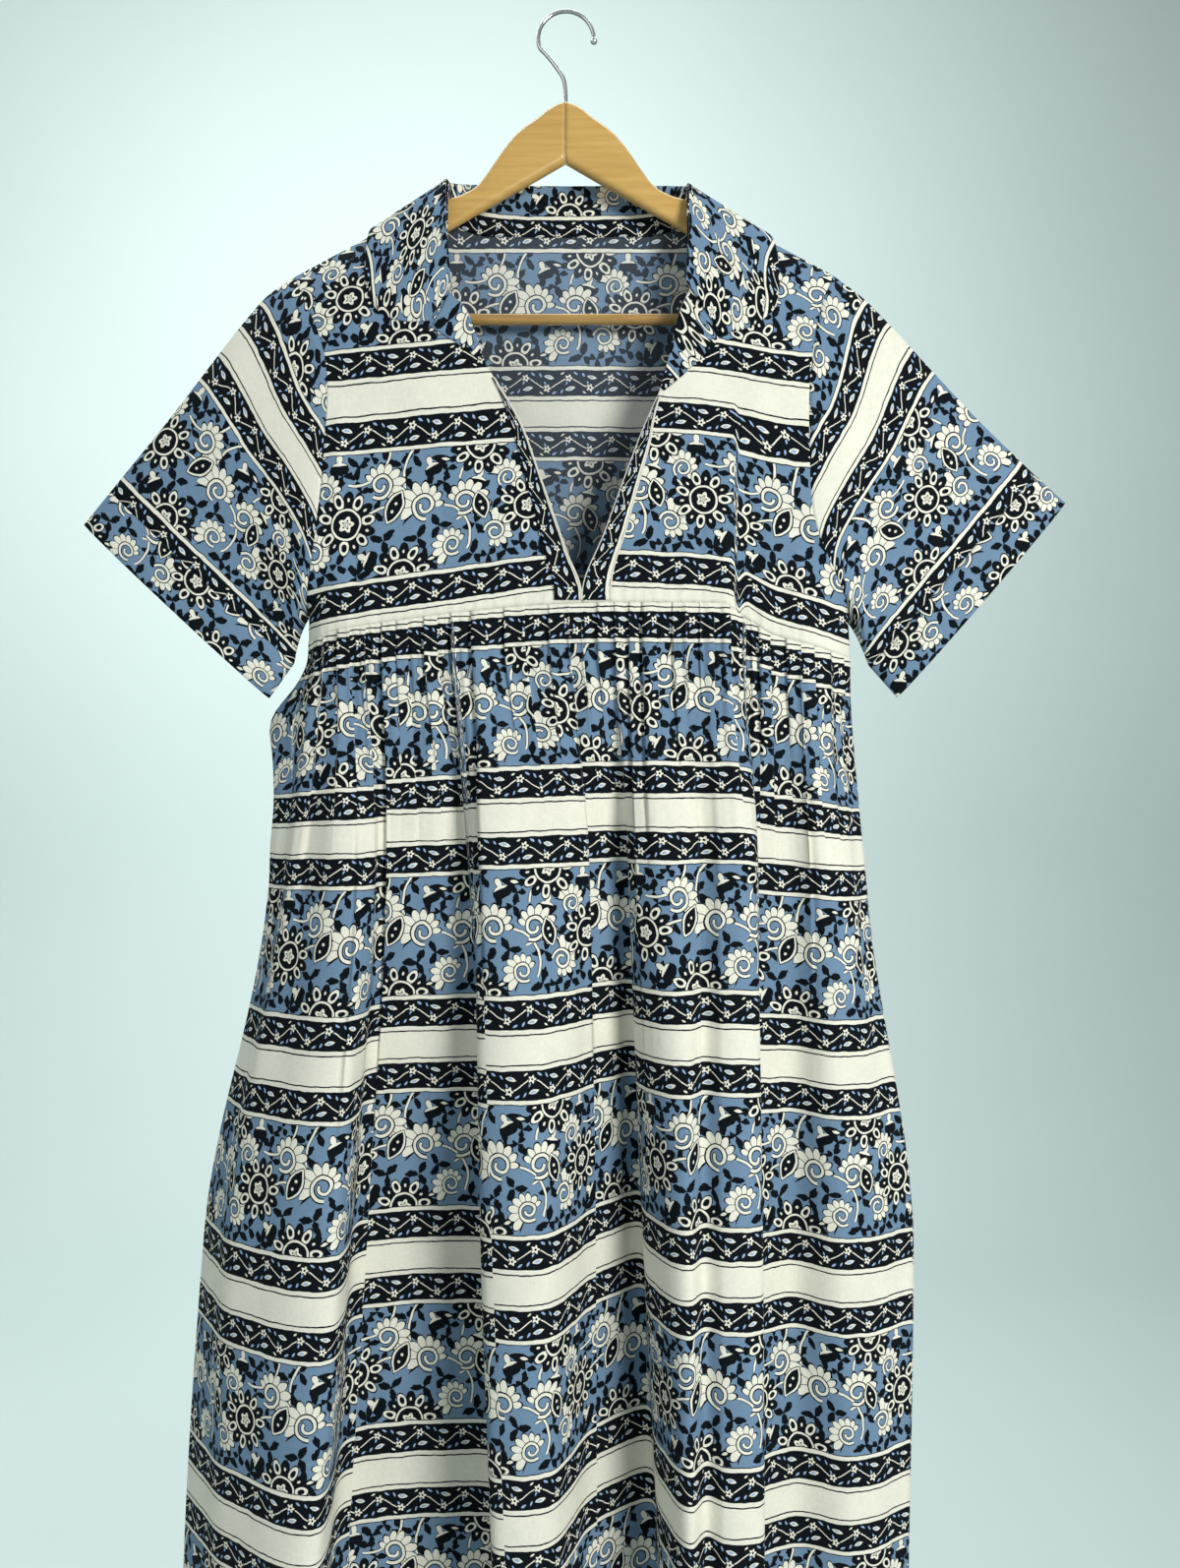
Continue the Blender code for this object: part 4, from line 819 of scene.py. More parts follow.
FRONT_CREASES = [
    # x and z of the two ends, half width and height; below 0 it goes in
    (-172, -330, -176, -470, 7, 1.8), (-160, -420, -158, -486, 5, -1.8),
    (-120, -300, -60, -420, 16, 1.5), (-95, -390, -84, -474, 9, -1.3), (-45, -400, -36, -470, 7, 1.2),
    (-190, -440, -140, -400, 10, -1.6), (150, -300, 118, -420, 12, 1.4), (92, -400, 94, -468, 5, 1.6),
    (104, -410, 104, -470, 4, -1.4), (60, -400, 66, -468, 6, 1.1), (40, -430, 42, -470, 4, -1.0),
    (158, -420, 156, -490, 6, 1.4), (200, -440, 170, -400, 9, -1.6), (176, -430, 182, -500, 6, 1.2),
]
PUCKER_HEIGHT, PUCKER_FADE = 0.75, 26


def front_y(x, z):
    depth = FRONT_DEPTH * quarter_round(shoulder_z(x) - z, FRONT_REACH)
    tuck = smoothstep((x - TUCK_X) / TUCK_WIDTH + 0.5) * smoothstep((TUCK_TOP - z) / TUCK_FADE)
    return -(depth - TUCK_DEPTH * tuck) * quarter_round(from_side_seam(x, z), SIDE_REACH_FRONT)


def puckers(x):
    """Fine gathers along the waist seam, no two alike."""
    return (math.sin(x * 0.72 + 1.3 * math.sin(x * 0.11)) * 0.6
            + math.sin(x * 1.31 + 2.1 * math.sin(x * 0.07)) * 0.5
            + math.sin(x * 0.37 + 0.7) * 0.3)


def front_print(side, x, z):
    """Where on the print a place lies: the stripes sag a little and step at the tuck."""
    if side == "left":
        sag = 7 * smoothstep((-292 - z) / 60) - (x + 70) * 0.063 * smoothstep((-360 - z) / 100)
        return x * ON_BODICE + 117.4, (z + 443 + sag - 0.08 * (x + 165)) * ON_BODICE
    step = TUCK_STEP * smoothstep((x - TUCK_X) / 5 + 0.5) * smoothstep((-300 - z) / 90)
    rise = z + 432 + 0.05 * (x - 60) + step + 7 * smoothstep((x - 100) / 80)
    beside = smoothstep((x - TUCK_X) / 10) * smoothstep((-400 - z) / 60)
    rise += (z - waist_z(x) - ABOVE_WAIST - rise) * beside
    return x * ON_BODICE - 10 - step * 1.6, rise * ON_BODICE


def bodice_front(side):
    neck = FRONT_NECK[side]
    down = np.concatenate([spread(9, 1.6) * 0.1, 0.1 + 0.9 * spread(76)[1:]])
    columns = 90
    across = spread(columns + 1)
    outer = np.array([bodice_side(side, v) for v in down])
    inner = curve(neck, down)
    shoulder = ARMHOLE[side][0]
    tops = [(x, shoulder_z(x)) for x in shoulder[0] + (neck[0][0] - shoulder[0]) * across]
    end = SIDE_SEAM[side][1][0]
    bottoms = [(x, waist_z(x) + SEAM_GAP) for x in end + (neck[-1][0] - end) * across]
    flat = patch(outer, inner, np.array(tops), np.array(bottoms), across, down)
    last = len(down) - 1

    def at(r, c):
        x, z = flat[r, c]
        ends = min(1, c / 6) * min(1, r / 6) * min(1, (columns - c) / 6)
        low = z - waist_z(x)
        fine = PUCKER_HEIGHT * puckers(x) * math.exp(-((low / PUCKER_FADE) ** 2))
        lift = crease(FRONT_CREASES, x, z) * min(1, (last - r) / 5 + 0.3) + fine
        y = front_y(x, z) - lift * ends
        return (x, y - SEAM_GAP / 2, z, *front_print(side, x, z))

    grid, uvs = laid_out(last + 1, columns + 1, at)
    made = cloth_piece("front_" + side, grid, uvs, ["bodice_front_" + side], (0, 1, 0))


for side in ("left", "right"):
    bodice_front(side)


# Lapels. The top corners of the fronts, turned back so that the wrong side of a facing
# cut from the same cloth shows, and pressed flat under the collar's ends.
LIES_ABOVE, TRIM_CLOTH = 1.35, 0.7
LAPEL = {
    "left": {"fold": [(-88.2, -234.4), (-76.3, -246.6), (-68.8, -264.2), (-62.2, -286.5)],
             "edge": [(-102.4, -261.2), (-91, -268.5), (-77, -278), (-64, -288.2)],
             "print": (20, 40, -12), "area": 0.0010},
    "right": {"fold": [(93.6, -236.8), (89.4, -245.8), (83.4, -269.6), (73.4, -309)],
              "edge": [(118.4, -270.6), (107, -282.5), (93, -297), (76, -311.4)],
              "print": (70, 62, -24), "area": 0.0015},
}


def lapel(side):
    table = LAPEL[side]
    down, across = spread(28), spread(14)
    fold, edge = curve(table["fold"], down), curve(table["edge"], down)
    start_u, start_v, end_v = table["print"]

    def at(r, c):
        x, z = edge[r] * (1 - across[c]) + fold[r] * across[c]
        roll = 1.3 * across[c] ** 3 * (1 - down[r])
        return (x, front_y(x, z) - LIES_ABOVE - roll, z, start_u + across[c] * 16,
                start_v + (end_v - start_v) * down[r])

    grid, uvs = laid_out(len(down), len(across), at)
    made = cloth_piece("lapel_piece_" + side, grid, uvs, ["lapel_" + side], (0, 1, 0), TRIM_CLOTH)


for side in ("left", "right"):
    lapel(side)


# Placket strips. A navy strip cut along the vine band of the print, sewn down each front
# edge, with a cream cord piped into its edge.
PLACKET = {
    # share of the way down and width, in millimetres
    "left": [(0, 1.6), (0.25, 8.0), (0.5, 12.0), (0.75, 15.5), (1, 20.5)],
    "right": [(0, 2.0), (0.25, 9.5), (0.5, 13.0), (0.75, 16.5), (1, 21.5)],
}
PLACKET_TOP = {"left": -301, "right": -316}
PLACKET_BOTTOM = -471.4
PLACKET_PRINT = {"left": (0, -2.9, -20.2), "right": (40, -23.2, 22.4)}


def placket(side):
    line = curve(FRONT_NECK[side], spread(400))
    line = line[(line[:, 1] <= PLACKET_TOP[side]) & (line[:, 1] >= PLACKET_BOTTOM)]
    shares, widths = zip(*PLACKET[side])
    away = -1 if side == "left" else 1
    rows, columns = 70, 12
    start_u, start_v, across_v = PLACKET_PRINT[side]

    def at(r, c):
        share, out = r / (rows - 1), c / (columns - 1)
        x, z = line[round(share * (len(line) - 1))]
        x += away * (0.25 + value_at(shares, widths, share) * out)
        swell = 0.5 * math.sin(math.pi * out) + 0.25 * math.sin(r * 0.9) * out * (1 - out) * 4
        return (x, front_y(x, z) - LIES_ABOVE - swell, z, r * 2.6 + start_u,
                start_v + across_v * out)

    grid, uvs = laid_out(rows, columns, at)
    made = cloth_piece("placket_piece_" + side, grid, uvs, ["placket_" + side], (0, 1, 0),
                       TRIM_CLOTH)
    return grid


def plain_cotton(name, colour):
    made, tree, shader = new_material(name, 0.85)
    place = tree.nodes.new("ShaderNodeTexCoord").outputs["Object"]
    threads = noise(tree, stretched(tree, place, (1400, 1400, 300)), 1.0, 2)
    tint = ramp(tree, threads, [(0.2, tuple(c * 0.82 for c in colour)), (0.8, colour)])
    tree.links.new(tint, shader.inputs["Base Color"])
    put(tree, threads * 0.1 + 0.78, shader.inputs["Roughness"])
    bump(tree, shader, threads, 0.5, 0.0003)
    return made


PIPING = plain_cotton("cream_piping", (0.76, 0.74, 0.66))
PIPING_AROUND = 8


def piping(name, line, radius, lift):
    """A round cord laid along a line on the front."""
    depths = [front_y(x, z) - lift for x, z in line]
    points = round_along(line, [radius] * len(line), depths, PIPING_AROUND)
    add_piece(name, points, tube_faces(len(line), PIPING_AROUND, False), [PIPING],
              [])


left_strip = placket("left")
right_strip = placket("right")
piping("piping_left", left_strip[:, 0, [0, 2]], 0.9, 1.2)
piping("piping_right", right_strip[:, -1, [0, 2]], 0.8, 1.2)
piping("piping_right_inner", right_strip[:, 0, [0, 2]], 0.6, 0.9)


# Collar. A wide fall collar: a short stand that rises from the neck seam, a soft fold
# and a broad leaf with blunt front corners. Print outside and inside, edge turned in.
COLLAR = [
    # seam x, y, z; fold x, y, z; edge x, y, z. Where y is None it lies on the front.
    (-89.2, None, -226.5, -86.8, None, -225, -103.5, None, -256.5),
    (-91.0, None, -209, -88.4, None, -206, -127, None, -255.5),
    (-92.4, None, -190, -89.8, None, -184, -145, None, -245.5),
    (-92.8, None, -172, -90.8, None, -160, -153.8, None, -226),
    (-93.0, -12.0, -156, -91.6, -10.5, -142, -155, -19.5, -203),
    (-93.2, -7.6, -148.4, -92.0, -6.0, -135, -154, -14.0, -182),
    (-93.4, 0.0, -143.6, -92.4, 0.0, -131.8, -151.5, 0.0, -170.0),
    (-93.2, 7.6, -147.4, -91.4, 6.5, -130.5, -149, 13.0, -178),
    (-90.0, 13.2, -156, -86.6, 13.0, -128.6, -140, 20.0, -193),
    (-80.0, 16.8, -164.5, -74.0, 17.5, -127, -113, 21.8, -198),
    (-54.0, 18.0, -168.6, -49.0, 20.6, -125.8, -70, 22.4, -196),
    (-18.0, 18.6, -169.8, -16.0, 21.8, -125.2, -22, 22.6, -194),
    (21.0, 18.6, -169.8, 20.0, 21.8, -125.2, 26, 22.6, -194),
    (57.0, 18.0, -168.8, 52.0, 20.6, -126.2, 74, 22.4, -197),
    (83.0, 16.8, -165, 77.0, 17.5, -128, 117, 21.8, -199.5),
    (93.0, 13.2, -157, 90.0, 13.0, -130.6, 145, 20.0, -196),
    (96.2, 7.6, -148.6, 94.8, 6.5, -133.4, 155, 13.0, -181.5),
    (96.4, 0.0, -145.2, 95.6, 0.0, -135.8, 159, 0.0, -174.5),
    (96.4, -7.6, -149.6, 95.4, -6.0, -138, 163.5, -14.0, -187),
    (96.4, -12.0, -158, 95.2, -10.5, -145.5, 166.5, -19.5, -211),
    (96.4, None, -174, 94.8, None, -163, 165.5, None, -232),
    (96.2, None, -192, 94.0, None, -186, 160.5, None, -246.5),
    (95.8, None, -209, 93.4, None, -206.5, 141.5, None, -260.5),
    (95.4, None, -224.5, 93.0, None, -223.5, 120, None, -266.5),
]
COLLAR_COLUMNS, COLLAR_LIFT, COLLAR_FOLD_RADIUS = 230, 1.7, 2.0


def through(line, place):
    k = min(int(place), len(line) - 2)
    t = place - k
    a, b = line[max(k - 1, 0)], line[k]
    c, d = line[k + 1], line[min(k + 2, len(line) - 1)]
    return (b * (2 * t**3 - 3 * t**2 + 1) + (c - a) * 0.5 * (t**3 - 2 * t**2 + t)
            + c * (3 * t**2 - 2 * t**3) + (d - b) * 0.5 * (t**3 - t**2))


def collar():
    lines = []
    for row in COLLAR:
        three = []
        for k, out in zip((0, 3, 6), (-0.3, 2.2, COLLAR_LIFT)):
            x, z = row[k], row[k + 2]
            three.append((x, front_y(x, z) - out if row[k + 1] is None else row[k + 1], z))
        lines.append(three)
    lines = np.array(lines, float)
    leaf_shares = np.linspace(0, 1, 19)[1:]
    columns, prints = [], []
    along = 0.0
    last_top = None
    for c in range(COLLAR_COLUMNS + 1):
        place = c / COLLAR_COLUMNS * (len(COLLAR) - 1)
        low, top, rim = (through(lines[:, k], place) for k in range(3))
        stand = top - low
        tall = np.linalg.norm(stand)
        rise = stand / tall
        leaf = (rim - top) / np.linalg.norm(rim - top)
        out = leaf - rise * (leaf @ rise)
        out /= np.linalg.norm(out)
        radius = min(COLLAR_FOLD_RADIUS, tall * 0.45)
        points = [low, low + stand * 0.2, low + stand * 0.4, low + stand * 0.6, top - rise * radius]
        for angle in np.radians((30, 60, 90, 94, 120, 150)):
            points.append(top - rise * radius + out * radius * (1 - math.cos(angle))
                          + rise * radius * math.sin(angle))
        start = top - rise * radius + out * 2 * radius
        points.append(start)
        ripple = 0.5 * math.sin(place * 2.1) + 0.35 * math.sin(place * 5.3 + 1)
        for share in leaf_shares:
            point = start * (1 - share) + rim * share
            if point[2] <= shoulder_z(point[0]):
                lift = COLLAR_LIFT + max(0.0, ripple) * math.sin(share * math.pi) * 1.2
                if point[1] <= 0:
                    point[1] = min(point[1], front_y(point[0], point[2]) - lift)
                else:
                    point[1] = max(point[1], back_y(point[0], point[2]) + lift)
            points.append(point)
        points = np.array(points)
        if last_top is not None:
            along += 0.5 * (np.linalg.norm(top - last_top) + np.linalg.norm(rim - last_rim))
        last_top, last_rim = top, rim
        lengths = np.concatenate([[0], np.cumsum(np.linalg.norm(np.diff(points, axis=0), axis=1))])
        columns.append(points)
        height = np.where(np.arange(len(points)) < 8, lengths - 20, lengths - lengths[8] + 4)
        prints.append(np.stack([np.full(len(points), along * 0.9 + 30), height], 1))
    grid = np.array(columns).transpose(1, 0, 2)
    uvs = np.array(prints).transpose(1, 0, 2)
    made = cloth_piece("fall_collar", grid, uvs, ["collar"], (0, -1, 0), TRIM_CLOTH)


collar()


# Sleeves. Each is one piece with its seam underneath, set flat into the armhole. The
# stripes run along the cuff, because the cloth is cut with them across the arm.
SLEEVE = {
    "left": {
        "top": [(-214.5, -210), (-235, -224), (-253.5, -244.4), (-271.4, -267),
                (-310.4, -317.7), (-360.3, -379.3)],
        "under": [(-202.5, -476), (-208, -487), (-212, -500), (-215.1, -515.6)],
        "hem": [(-381.4, -405.5), (-234.8, -543.1)],
    },
    "right": {
        "top": [(212, -208.7), (235.6, -226.5), (258.2, -249.1), (287.8, -281.1),
                (324.5, -320.1), (371.3, -365.7)],
        "under": [(224, -480), (230, -491), (235, -503), (240.5, -517.2)],
        "hem": [(396, -388.3), (262.9, -542.4)],
    },
}
CUFF_DEPTH = {"front": 16, "back": 12}
SLEEVE_AROUND, ACROSS_CUFF = 112, 0.93
SLEEVE_PRINT, SLEEVE_DROOP = {"left": 86, "right": 20}, 38
SLEEVE_CREASES = {
    # x and z of the two ends, half width and height, on the sleeve's front
    "left": [(-205, -440, -262, -300, 9, -1.8), (-200, -410, -300, -400, 8, 1.6),
             (-215, -470, -300, -470, 8, -1.5), (-235, -260, -300, -360, 12, 1.0)],
    "right": [(215, -440, 262, -300, 9, -1.8), (212, -410, 310, -390, 8, 1.6),
              (225, -470, 310, -460, 8, -1.5), (240, -260, 310, -350, 12, 1.0)],
}


def cuff_seam(side):
    return np.array(SLEEVE[side]["top"][-1], float), np.array(SLEEVE[side]["under"][-1], float)


def sleeve(side):
    top_line, under_line = SLEEVE[side]["top"], SLEEVE[side]["under"]
    hem_top, hem_under = (np.array(p, float) for p in SLEEVE[side]["hem"])
    cuff_top, cuff_under = cuff_seam(side)
    angles = 2 * np.pi * np.arange(SLEEVE_AROUND) / SLEEVE_AROUND
    shares = (1 - np.cos(angles)) / 2
    stations = spread(34)
    first = np.array([armhole_point(side, s) for s in shares])
    last = cuff_top + (cuff_under - cuff_top) * shares[:, None]
    tops, unders = curve(top_line, stations), curve(under_line, stations)
    hem_way = (hem_under - hem_top) / np.linalg.norm(hem_under - hem_top)
    out_way = np.array((hem_way[1], -hem_way[0]))
    if (cuff_top - hem_top) @ out_way < 0:
        out_way = -out_way
    half = SLEEVE_AROUND // 2

    def at(r, k):
        along, share, face_is_front = stations[r], shares[k], k <= half
        place = (first[k] * (1 - along) + last[k] * along + tops[r] * (1 - share)
                 + unders[r] * share)
        corners = ((first[0] * (1 - share) + first[half] * share) * (1 - along)
                   + (last[0] * (1 - share) + last[half] * share) * along)
        x, z = place - corners
        start = front_y(*first[k]) if face_is_front else back_y(*first[k])
        depth = CUFF_DEPTH["front" if face_is_front else "back"]
        end = depth * abs(math.sin(angles[k])) * (-1 if face_is_front else 1)
        y = start + (end - start) * smoothstep(along)
        soft = math.sin(math.pi * along) * abs(math.sin(angles[k]))
        lift = crease(SLEEVE_CREASES[side], x, z) * soft
        y += -lift if face_is_front else lift * 0.8
        away, run = (np.array((x, z)) - hem_top) @ out_way, (np.array((x, z)) - hem_top) @ hem_way
        droop = SLEEVE_DROOP * smoothstep(share / 0.4) * (1 - along) ** 1.5
        return x, y, z, run * ACROSS_CUFF + SLEEVE_PRINT[side], (away - 51) * 0.91 + droop

    grid, uvs = laid_out(len(stations), SLEEVE_AROUND, at)
    made = cloth_piece("sleeve_piece_" + side, grid, uvs, ["sleeve_" + side], (0, 1, 0), wrap=True)


def sleeve_band(side):
    hem_top, hem_under = (np.array(p, float) for p in SLEEVE[side]["hem"])
    cuff_top, cuff_under = cuff_seam(side)
    angles = 2 * np.pi * np.arange(SLEEVE_AROUND) / SLEEVE_AROUND
    shares = (1 - np.cos(angles)) / 2
    half = SLEEVE_AROUND // 2
    rows = 12

    def at(r, k):
        out, share, face_is_front = r / (rows - 1), shares[k], k <= half
        seam = cuff_top + (cuff_under - cuff_top) * share
        hem = hem_top + (hem_under - hem_top) * share
        x, z = seam + (hem - seam) * max(out, 0.006)
        depth = CUFF_DEPTH["front" if face_is_front else "back"]
        swell = 0.6 * math.sin(math.pi * out)
        y = (depth + swell) * abs(math.sin(angles[k])) * (-1 if face_is_front else 1)
        return x, y, z, share * 200 * ACROSS_CUFF + SLEEVE_PRINT[side] + 40, 42 - out * 38

    grid, uvs = laid_out(rows, SLEEVE_AROUND, at)
    made = cloth_piece("band_piece_" + side, grid, uvs, ["sleeve_band_" + side], (0, 1, 0), wrap=True)


for side in ("left", "right"):
    sleeve(side)
    sleeve_band(side)


# Skirt. One tier of cloth, nearly twice as wide as the waist, gathered on two threads
# and sewn under it. Its folds fall as they fell in the photo; the back is gathered alike.
LEVELS = (0, 190, 465, 830)
FAR_FOLDS = (-36, -22, -18, -18)
NEAR_FOLDS = (-38, -72, -100, -108)
FRONT_FOLDS = [
    # x at the waist seam, at two heights below it and at the hem, then how far forward at each
    ((-186, -205, -241, -252), (0, 0.35, 0.60, 0.45)),  # left bend
    ((-160, -149, -161, -180), (0, 0.75, 0.95, 0.95)),  # left crest
    ((-141, -138, -154, -172), (0, 0.30, 0.12, 0.15)),  # left valley
    ((-116, -108, -114, -109), (0, 0.35, 0.02, 0.00)),  # left far panel
    ((-94, -72, -60, -45), (0, 0.33, 0.10, 0.05)),  # under the first edge
    ((-78, -67, -56, -41), (0, 0.80, 0.90, 1.00)),  # first edge
    ((-40, -20, -14, -12), (0, 0.90, 1.00, 0.97)),  # centre panel
    ((0, 14, 20, 20), (0, 0.55, 0.42, 0.32)),  # slope to the recess
    ((32, 45, 56, 68), (0, 0.25, 0.00, 0.00)),  # recess
    ((49, 53, 63, 76), (0, 0.80, 0.62, 0.66)),  # second edge
    ((80, 88, 91, 92), (0, 0.92, 1.00, 1.04)),  # right crest
    ((97, 104, 103, 104), (0, 0.70, 0.84, 0.90)),  # small tuck
    ((113, 116, 114, 114), (0, 0.82, 0.92, 0.98)),  # right panel
    ((131, 140, 141, 139), (0, 0.72, 0.85, 0.95)),  # third edge
    ((145, 146, 146, 145), (0, 0.28, 0.35, 0.35)),  # under the third edge
    ((166, 173, 174, 180), (0, 0.20, 0.08, 0.15)),  # right far panel
    ((194, 202, 211, 222), (0, 0.38, 0.25, 0.20)),  # right ridge
]
SIDES = ((-203, -227, -284, -302), (226, 238, 274, 269))
SIDE_Y = (0, -8, -8, -8)
LEFT_FLARE = [(0, 0), (30, 21), (55, 28), (98, 19), (130, 13), (160, 10), (190, 6), (330, 0)]
BACK_FOLDS = [
    # x at the waist seam and at the hem, and y at the two middle levels and at the hem
    (-163, -248, 33, 38, 39), (-116, -178, 15, 13, 12), (-70, -108, 34, 40, 41),
    (-22, -38, 16, 14, 13), (28, 30, 34, 40, 41), (76, 96, 15, 13, 12),
    (124, 160, 33, 39, 40), (176, 222, 16, 15, 14),
]
BACK_AT_SEAM = 18
GATHER_DEPTH = [(0, 0.4), (8, 1.0), (22, 1.2), (60, 0.8), (120, 0.4), (230, 0.15), (330, 0.0)]
PRINT_AT_SEAM, PRINT_SCALE = 119.5, 0.96
PLEATS = {
    # x on the waist seam, which side lies over, height, how far down it lasts
    "front": [
        (-194, "l", 1.8, 130), (-184, "l", 2.2, 240), (-172, "r", 1.6, 90), (-163, "l", 2.0, 150),
        (-151, "l", 1.7, 110), (-139, "r", 3.0, 420), (-128, "r", 1.5, 80), (-119, "l", 2.2, 200),
        (-107, "r", 1.8, 120), (-97, "l", 1.6, 80), (-86, "r", 3.0, 330), (-71, "r", 2.8, 300),
        (-58, "l", 1.4, 70), (-46, "r", 1.8, 110), (-30, "l", 2.2, 170), (-12, "r", 1.5, 90),
        (4, "l", 3.0, 380), (14, "l", 1.8, 120), (25, "r", 1.7, 90), (38, "r", 2.0, 140),
        (49, "r", 3.0, 340), (59, "r", 2.4, 210), (70, "l", 1.5, 80), (82, "r", 2.0, 160),
        (93, "l", 2.6, 480), (103, "r", 1.6, 90), (114, "l", 2.0, 140), (126, "l", 1.6, 90),
        (137, "l", 3.0, 420), (149, "r", 1.8, 110), (158, "l", 2.2, 190), (170, "r", 1.6, 90),
        (181, "l", 2.6, 280), (192, "l", 1.7, 110), (204, "r", 2.0, 160), (216, "l", 1.5, 80),
    ],
    "back": [
        (-188, "l", 2.0, 180), (-171, "r", 1.7, 110), (-155, "l", 2.4, 260), (-139, "r", 1.6, 90),
        (-121, "r", 2.6, 300), (-104, "l", 1.8, 130), (-88, "r", 1.6, 90), (-69, "l", 2.5, 280),
        (-51, "l", 1.7, 110), (-34, "r", 2.0, 170), (-15, "l", 1.6, 90), (3, "r", 2.6, 310),
        (21, "l", 1.8, 120), (40, "r", 2.1, 200), (57, "l", 1.6, 90), (75, "l", 2.5, 270),
        (93, "r", 1.7, 110), (111, "l", 2.2, 220), (129, "r", 1.6, 90), (148, "r", 2.5, 290),
        (166, "l", 1.8, 130), (185, "r", 2.0, 170), (205, "l", 1.7, 110),
    ],
}
WIDE_PANELS = {"front": 300, "back": 250}
PLEAT_STARTS, BESIDE_PLEAT = 15, {True: 9.0, False: 7.0}


def side_knots(drop):
    side_y = value_at(LEVELS, SIDE_Y, drop)
    left, right = (value_at(LEVELS, across, drop) for across in SIDES)
    return (left - value_at(*zip(*LEFT_FLARE), drop), side_y), (right, side_y)


def front_knots(drop):
    far, near = value_at(LEVELS, FAR_FOLDS, drop), value_at(LEVELS, NEAR_FOLDS, drop)
    left, right = side_knots(drop)
    knots = [left]
    for across, nearness in FRONT_FOLDS:
        share = value_at(LEVELS, nearness, drop)
        knots.append((value_at(LEVELS, across, drop), far + (near - far) * share))
    return knots + [right]


def back_knots(drop):
    left, right = side_knots(drop)
    knots = [left]
    for seam_x, hem_x, high, middle, low in BACK_FOLDS:
        x = seam_x + (hem_x - seam_x) * smoothstep(drop / LEVELS[-1] * 0.5) * 2
        knots.append((x, value_at(LEVELS, (BACK_AT_SEAM, high, middle, low), drop)))
    return knots + [right]


def ring_at(knots, places):
    """The ring's line at places counted in knots."""
    knots = np.array(knots, float)
    lengths = np.concatenate([[0], np.cumsum(np.linalg.norm(np.diff(knots, axis=0), axis=1))])
    here = np.interp(places, np.arange(len(knots)), lengths)
    return curve(knots, here / lengths[-1])


def gathers(at):
    """Unequal small pleats, as the thread drew them. at is along the cloth, in mm."""
    return (math.sin(at * 0.42 + 1.7 * math.sin(at * 0.043)) * 0.75
            + math.sin(at * 0.87 + 2.3 * math.sin(at * 0.031) + 1) * 0.45
            + math.sin(at * 0.21 + 0.4) * 0.4)


def skirt_columns(knots, per_fold, pleats):
    """Places along the ring. A pleat has two at one place: its edge, and behind it where
    the cloth comes out again. under is -1 or 1, the way that one goes back, or 0."""
    across = [x for x, _ in knots]
    at = np.interp([row[0] for row in pleats], across, np.arange(len(across)))
    plain = np.arange((len(across) - 1) * per_fold + 1) / per_fold
    rows = [(t, 0, -1, 0) for t in plain if np.abs(at - t).min() > 0.3 / per_fold]
    for k, (t, row) in enumerate(zip(at, pleats)):
        if row[1] == "l":
            rows += [(t, 1, k, 0), (t, 2, k, -1)]
        else:
            rows += [(t, 1, k, 1), (t, 2, k, 0)]
    rows.sort()
    return (np.array([row[k] for row in rows]) for k in range(4))


def panels(which, second, pleat, count):
    """For each column the first and the last column of its panel between pleats."""
    edges = [0] + [c for c in range(count) if second[c] == 2 and pleat[c] in which] + [count]
    middles = np.empty(count, int)
    for start, end in zip(edges, edges[1:]):
        middles[start:end] = (start + end) // 2
    return middles


